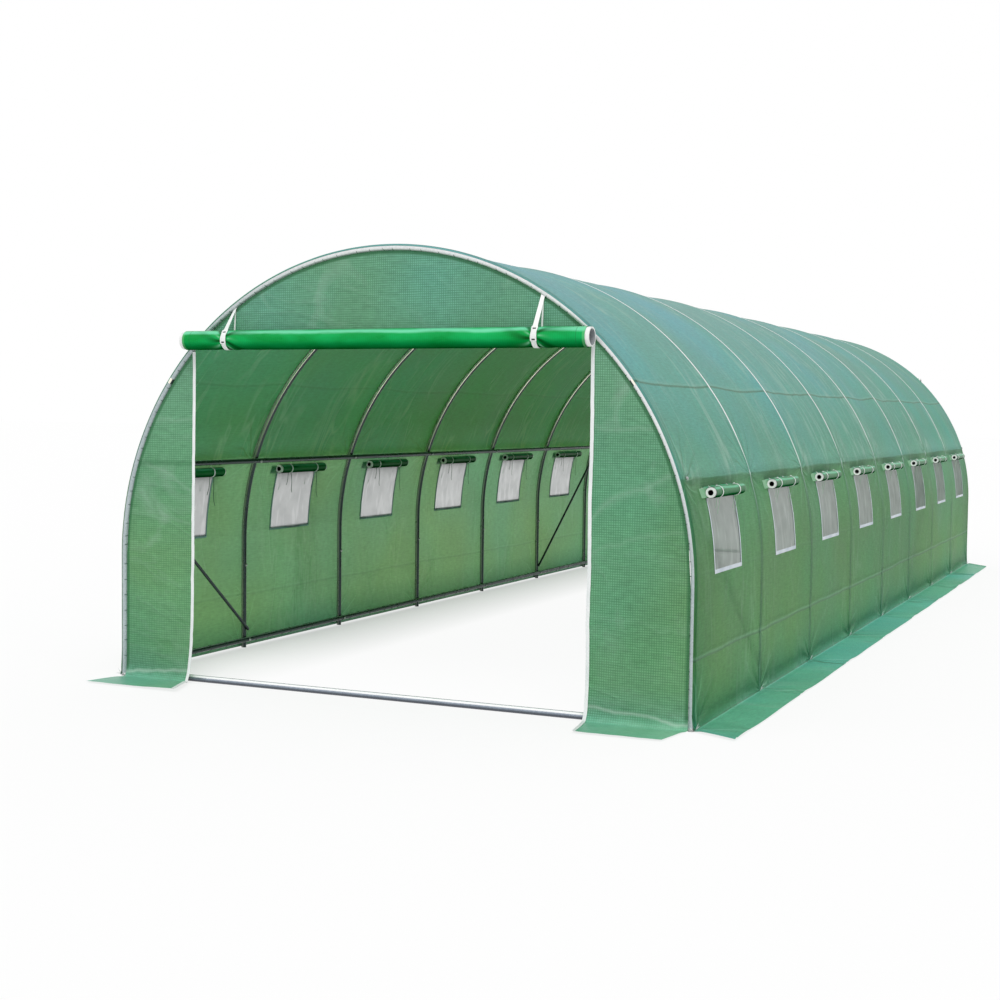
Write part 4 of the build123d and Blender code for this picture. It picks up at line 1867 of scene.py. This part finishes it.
def makeGroundTies():
    # small ties that hold the sheet to the ground rails
    clearSelection()
    bpy.ops.mesh.primitive_torus_add(
        major_segments=10, minor_segments=4, major_radius=0.0175, minor_radius=0.0012, rotation=(math.pi / 2, 0, 0)
    )
    model = bpy.context.object
    settle(model)
    ties = []
    lean = random.Random(12)
    span = 2 * fitting["tieReach"]
    count = int(span / fitting["tiePitch"])
    for side in (1, -1):
        for i in range(count):
            y = span * (i + 0.5 + lean.uniform(-0.4, 0.4)) / count - fitting["tieReach"]
            place = Matrix.Translation((side * (tunnel["railRing"] + 0.001), y, tunnel["groundRailZ"]))
            ties.append(copyTo(model, "tie", place @ Matrix.Rotation(lean.uniform(-0.35, 0.35), 4, "Z")))
    dropModels(model)
    finishPiece(joinPieces("groundRailTies", ties), 60, greenTie, "strap")


def makeFootTies():
    # crumpled white ends of the ties that hold the cover to each foot
    lean = random.Random(31)
    slivers = []
    for y in hoopPlaces:
        for side in (1, -1):
            for turn in (-0.95, -0.35, 0.5, 1.25):
                clearSelection()
                bpy.ops.mesh.primitive_cone_add(
                    vertices=6, radius1=0.0032, radius2=0.0008, depth=0.034, location=(0, 0, 0.017)
                )
                sliver = bpy.context.object
                sliver.scale = (0.5, 1.0, lean.uniform(0.7, 1.3))
                settle(sliver)
                place = Matrix.Translation((side * (cover["radius"] + 0.006), y + 0.004 * side, 0.012))
                turned = Matrix.Rotation(turn + lean.uniform(-0.2, 0.2), 4, "X")
                sliver.data.transform(place @ turned @ Matrix.Rotation(0.35 * side, 4, "Y"))
                slivers.append(sliver)
    finishPiece(joinPieces("footTies", slivers), 60, whiteTape, "strap")


def makeHoopShoes():
    # flattened shoes under the legs of the end hoops
    shoes = []
    for y in (hoopPlaces[0], hoopPlaces[-1]):
        for side in (1, -1):
            x = side * tunnel["hoopRadius"]
            clearSelection()
            bpy.ops.mesh.primitive_cylinder_add(vertices=24, radius=0.0175, depth=0.016, location=(x, y, 0.0082))
            shoe = bpy.context.object
            settle(shoe)
            pickFaces(shoe, lambda face: face.normal.z < -0.9)
            bpy.ops.transform.resize(value=(1.22, 1.22, 1), center_override=(x, y, 0))
            bpy.ops.object.mode_set(mode="OBJECT")
            applyModifier(shoe, "BEVEL", width=0.0015, segments=2, limit_method="ANGLE")
            shoes.append(shoe)
    finishPiece(joinPieces("hoopShoes", shoes), 40, boltSteel, "bright_steel_tube")


makeFittings()
makeGroundTies()
makeFootTies()
makeHoopShoes()
print("fittings made")


# Finishes for the pieces that stay as they were built in the frame

def dressNodes():
    for name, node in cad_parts.items():
        if name in endWall["hoop"].values():
            material = archSteel
        elif name.endswith("ground_bar"):
            material = barSteel
        elif name.startswith("window_flap_cores"):
            material = flapCorePlastic
        elif name.endswith("door_core"):
            material = doorCorePlastic
        else:
            material = shadedSteel
        node.data.materials.clear()
        node.data.materials.append(material)


dressNodes()
print("frame dressed")


# Floor, lamp and world

studio = {
    "world": 0.7,
    "sun": 1.5,
    "sunFrom": (0.3, -0.6, 0.9),
    "sunAngle": 0.5,
    "floorSize": 260,
    "floorZ": -0.0005,
    # how much of the floor is plain white: outside, inside, and by the left wall
    "floorWhite": (0.8, 0.95, 0.52),
}


def seenRays(tree):
    path = addNode("ShaderNodeLightPath", {}, tree)
    seen, glossy, through = (Signal(path.outputs[f"Is {kind} Ray"]) for kind in ("Camera", "Glossy", "Transmission"))
    return calc("MAXIMUM", calc("MAXIMUM", seen, glossy), through)


def makeWorld():
    world = bpy.data.worlds.new("studioWorld")
    bpy.context.scene.world = world
    world.use_nodes = True
    strength = addNode("ShaderNodeMix", {0: seenRays(world.node_tree), 2: studio["world"], 3: 1.0})
    feed(world.node_tree.nodes["Background"], {"Color": (1, 1, 1), "Strength": Signal(strength.outputs[0])})


def makeFloor():
    clearSelection()
    bpy.ops.mesh.primitive_plane_add(size=studio["floorSize"], location=(0, 0, studio["floorZ"]))
    floor = bpy.context.object
    floor.name = "studioFloor"
    floor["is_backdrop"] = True
    material, shader, place, _ = startMaterial("floorWhite")
    feed(shader, {"Base Color": (0.9, 0.9, 0.9), "Roughness": 0.9, "Specular IOR Level": 0.1})
    x, y, _ = parts(place)
    outside, inside, byWall = studio["floorWhite"]
    covered = spread(abs(x), 1.7, 1.76, 1.0, 0.0) * spread(abs(y), 4.9, 5.05, 1.0, 0.0)
    white = addNode("ShaderNodeMix", {0: covered, 2: outside, 3: spread(x, -1.7, -0.9, byWall, inside)})
    share = seenRays(material.node_tree) * Signal(white.outputs[0])
    mixShader(shader, share, "ShaderNodeEmission", {"Color": (1, 1, 1), "Strength": 1.0})
    floor.data.materials.append(material)


def makeSun():
    data = bpy.data.lights.new("softSun", "SUN")
    data.energy = studio["sun"]
    data.angle = studio["sunAngle"]
    sun = bpy.data.objects.new("softSun", data)
    sun.rotation_euler = Vector(studio["sunFrom"]).to_track_quat("Z", "Y").to_euler()
    bpy.context.collection.objects.link(sun)


makeWorld()
makeFloor()
makeSun()
bpy.context.scene.view_settings.view_transform = "Standard"
print("studio set")

low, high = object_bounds()
